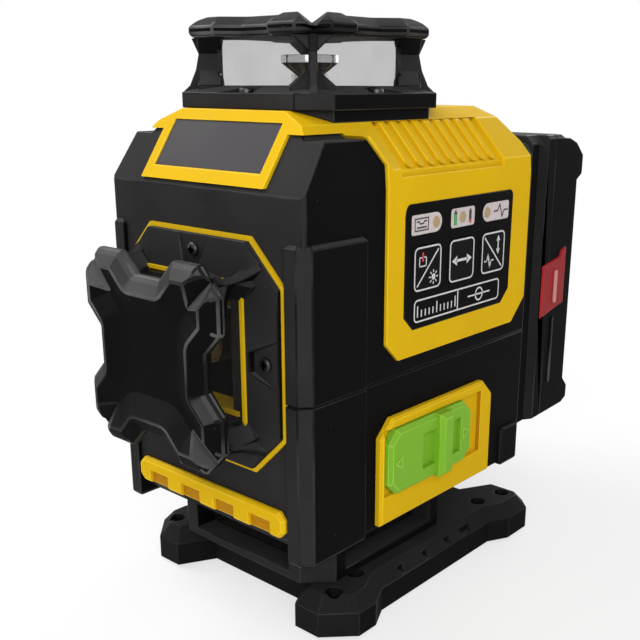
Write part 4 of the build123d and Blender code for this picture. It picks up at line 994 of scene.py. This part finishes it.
def islands(bm):
    """Groups of vertices that hang together, in the order of the mesh."""
    seen = set()
    for first in bm.verts:
        if first not in seen:
            group, front = [first], [first]
            seen.add(first)
            while front:
                reach = {edge.other_vert(vert): None for vert in front for edge in vert.link_edges}
                front = [vert for vert in reach if vert not in seen]
                seen.update(front)
                group += front
            yield group


class Screw:
    """Screw found in a solid: place of its head's top, way out of the seat, and sizes."""

    # Where the head starts and the shank ends, the recess's arm and the head's round, in radii of the head
    HEAD, SHANK, ARM, RIM = 0.96, 0.9, 0.55, 0.22
    # Depth of the recess in heights of the head, and how far it narrows to its foot
    DEPTH, DRAFT = 0.6, 0.8

    def __init__(self, verts):
        low = Vector([min(vert.co[k] for vert in verts) for k in range(3)])
        high = Vector([max(vert.co[k] for vert in verts) for k in range(3)])
        span = high - low
        axis = max(range(3), key=lambda k: span[k])
        core = (low + high) / 2
        self.length = span[axis]
        self.radius = min(span) / 2
        across = Vector([float(k != axis) for k in range(3)])
        far = {vert: ((vert.co - core) * across).length for vert in verts}
        head = [vert.co[axis] for vert in verts if far[vert] > self.radius * self.HEAD]
        self.height = max(head) - min(head)
        self.shank = max(far[vert] for vert in verts if far[vert] < self.radius * self.SHANK)
        way = 1 if max(head) > core[axis] else -1
        self.out = Vector([way * (k == axis) for k in range(3)])
        self.top = core + self.out * (self.length / 2)

    def build(self, sides=24):
        """Pan head with a cross recess, on its shank."""
        bm = bmesh.new()
        arm = self.radius * self.ARM
        rim = self.radius * self.RIM
        verts = bmesh.ops.create_grid(bm, x_segments=3, y_segments=3, size=arm)["verts"]
        faces = linked(verts, "link_faces")
        corners = [face for face in faces if min(map(abs, face.calc_center_median().xy)) > arm * 0.3]
        bmesh.ops.delete(bm, geom=corners, context="FACES")
        cross = list(bm.faces)
        lip = [edge for edge in bm.edges if edge.is_boundary]
        pit = raised(bm, cross, -self.height * self.DEPTH)
        bmesh.ops.scale(bm, verts=pit, vec=(self.DRAFT, self.DRAFT, 1))
        bmesh.ops.delete(bm, geom=cross, context="FACES")
        ring = bmesh.ops.create_circle(bm, segments=sides, radius=self.radius - rim)["verts"]
        edges = linked(ring, "link_edges")
        bmesh.ops.bridge_loops(bm, edges=lip + edges)
        turned(bm, edges, self.radius - rim, (
            (self.radius - rim * 0.3, -rim * 0.3), (self.radius, -rim * 0.7),
            (self.radius, rim - self.height), (self.shank, 0.0),
            (self.shank, self.height - self.length)))
        stand = Matrix.Translation(self.top) @ self.out.to_track_quat("Z", "Y").to_matrix().to_4x4()
        bmesh.ops.transform(bm, matrix=stand, verts=bm.verts)
        return bm


class LEVEL_OT_fasteners(Operator):
    """Give the screws of the turrets, the housing and the foot their heads and cross recesses"""

    bl_idname = "level.fasteners"
    bl_label = "Screws"

    def execute(self, context):
        for node in ("turret_screws", "housing_screws", "foot_screws"):
            solid = merged(node)
            whole = bmesh.new()
            for group in islands(solid):
                one = Screw(group).build()
                mesh = bpy.data.meshes.new("screw")
                one.to_mesh(mesh)
                one.free()
                whole.from_mesh(mesh)
                bpy.data.meshes.remove(mesh)
            solid.free()
            piece = finished(whole, node + "_cross", BODY_OF[node], "steel", smooth=50.0)
            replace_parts(piece, node)
        return {"FINISHED"}


class LEVEL_OT_studio(Operator):
    """Set the floor, the lamps, the sky and the camera"""

    bl_idname = "level.studio"
    bl_label = "Studio"

    # How far from the origin the floor starts to clear to white, how fast, and its share of white before
    CLEAR_FROM, CLEAR_RATE, NEAR_WHITE = 0.16, 3.0, 0.66
    WHITE = {"Color": (1, 1, 1, 1), "Strength": 1.0}

    def execute(self, context):
        stage = context.scene.level_stage
        self.floor(context, stage)
        self.sky(context, stage)
        for name in ("key", "fill", "rear"):
            self.lamp(context, stage, name)
        self.camera(context, stage)
        context.scene.view_settings.view_transform = "Standard"
        return {"FINISHED"}

    def floor(self, context, stage):
        """Wide pale floor that shows white to the eye and keeps the shadow."""
        bm = bmesh.new()
        bmesh.ops.create_grid(bm, x_segments=1, y_segments=1, size=stage.floor_half)
        mesh = bpy.data.meshes.new("floor")
        bm.to_mesh(mesh)
        bm.free()
        floor = bpy.data.objects.new("floor", mesh)
        context.scene.collection.objects.link(floor)
        look, place = finish("pale_floor")
        matt = look.node("ShaderNodeBsdfDiffuse", {}, {"Color": rgba(stage.floor)})
        glow = look.node("ShaderNodeEmission", {}, self.WHITE)
        away = look.node("ShaderNodeVectorMath", {"operation": "LENGTH"}, {0: place}, out="Value")
        clear = look.held(away - self.CLEAR_FROM, self.CLEAR_RATE)
        white = look.seen() * (self.NEAR_WHITE + (1 - self.NEAR_WHITE) * clear)
        both = look.node("ShaderNodeMixShader", {}, {0: white, 1: matt, 2: glow})
        look.node("ShaderNodeOutputMaterial", {}, {"Surface": both})
        paint(floor, "pale_floor")

    def sky(self, context, stage):
        """Even light all round, white where the eye or a reflection sees it."""
        world = bpy.data.worlds.new("studio")
        context.scene.world = world
        look = Finish(world)
        even = look.node("ShaderNodeBackground", {}, {"Color": (1, 1, 1, 1), "Strength": stage.sky})
        white = look.node("ShaderNodeBackground", {}, self.WHITE)
        both = look.node("ShaderNodeMixShader", {}, {0: look.seen(), 1: even, 2: white})
        look.node("ShaderNodeOutputWorld", {}, {"Surface": both})

    def lamp(self, context, stage, name):
        """Square lamp that faces the level."""
        light = bpy.data.lights.new(name + "_lamp", "AREA")
        light.shape = "SQUARE"
        light.size = getattr(stage, name + "_wide")
        light.energy = getattr(stage, name)
        lamp = bpy.data.objects.new(name + "_lamp", light)
        lamp.location = getattr(stage, name + "_at")
        aim = Vector(stage.aim) - lamp.location
        lamp.rotation_euler = aim.to_track_quat("-Z", "Y").to_euler()
        context.scene.collection.objects.link(lamp)

    def camera(self, context, stage):
        """Camera at the angle of the photograph."""
        data = bpy.data.cameras.new("camera")
        data.sensor_width = 36
        data.lens = stage.lens
        data.shift_x, data.shift_y = stage.shift
        data.clip_start = 0.01
        camera = bpy.data.objects.new("camera", data)
        camera.location = stage.eye
        level = Euler((pi / 2 - stage.tilt, 0, stage.turn), "XYZ").to_matrix()
        camera.rotation_euler = (level @ Matrix.Rotation(stage.roll, 3, "Z")).to_euler()
        context.scene.collection.objects.link(camera)
        context.scene.camera = camera


STEPS = (LEVEL_OT_inner, LEVEL_OT_shells, LEVEL_OT_guards, LEVEL_OT_foot, LEVEL_OT_saddle, LEVEL_OT_ledges,
         LEVEL_OT_controls, LEVEL_OT_pack, LEVEL_OT_prints, LEVEL_OT_fasteners, LEVEL_OT_studio)
GROUPS = {"level_colours": LevelColours, "level_sizes": LevelSizes, "level_stage": LevelStage}


class LEVEL_PT_panel(Panel):
    """Steps and settings of the level's dressing"""

    bl_idname = "LEVEL_PT_panel"
    bl_label = "Laser level"
    bl_space_type = "VIEW_3D"
    bl_region_type = "UI"
    bl_category = "Level"

    def draw(self, context):
        column = self.layout.column()
        for step in STEPS:
            column.operator(step.bl_idname)
        for name in GROUPS:
            group = getattr(context.scene, name)
            for setting in group.__annotations__:
                column.prop(group, setting)


def register():
    for name, group in GROUPS.items():
        bpy.utils.register_class(group)
        setattr(bpy.types.Scene, name, PointerProperty(type=group))
    for step in (*STEPS, LEVEL_PT_panel):
        bpy.utils.register_class(step)


def unregister():
    for step in (LEVEL_PT_panel, *reversed(STEPS)):
        bpy.utils.unregister_class(step)
    for name, group in GROUPS.items():
        delattr(bpy.types.Scene, name)
        bpy.utils.unregister_class(group)


def main():
    register()
    make_finishes()
    for step in STEPS:
        family, name = step.bl_idname.split(".")
        getattr(getattr(bpy.ops, family), name)()


if __name__ == "__main__":
    main()
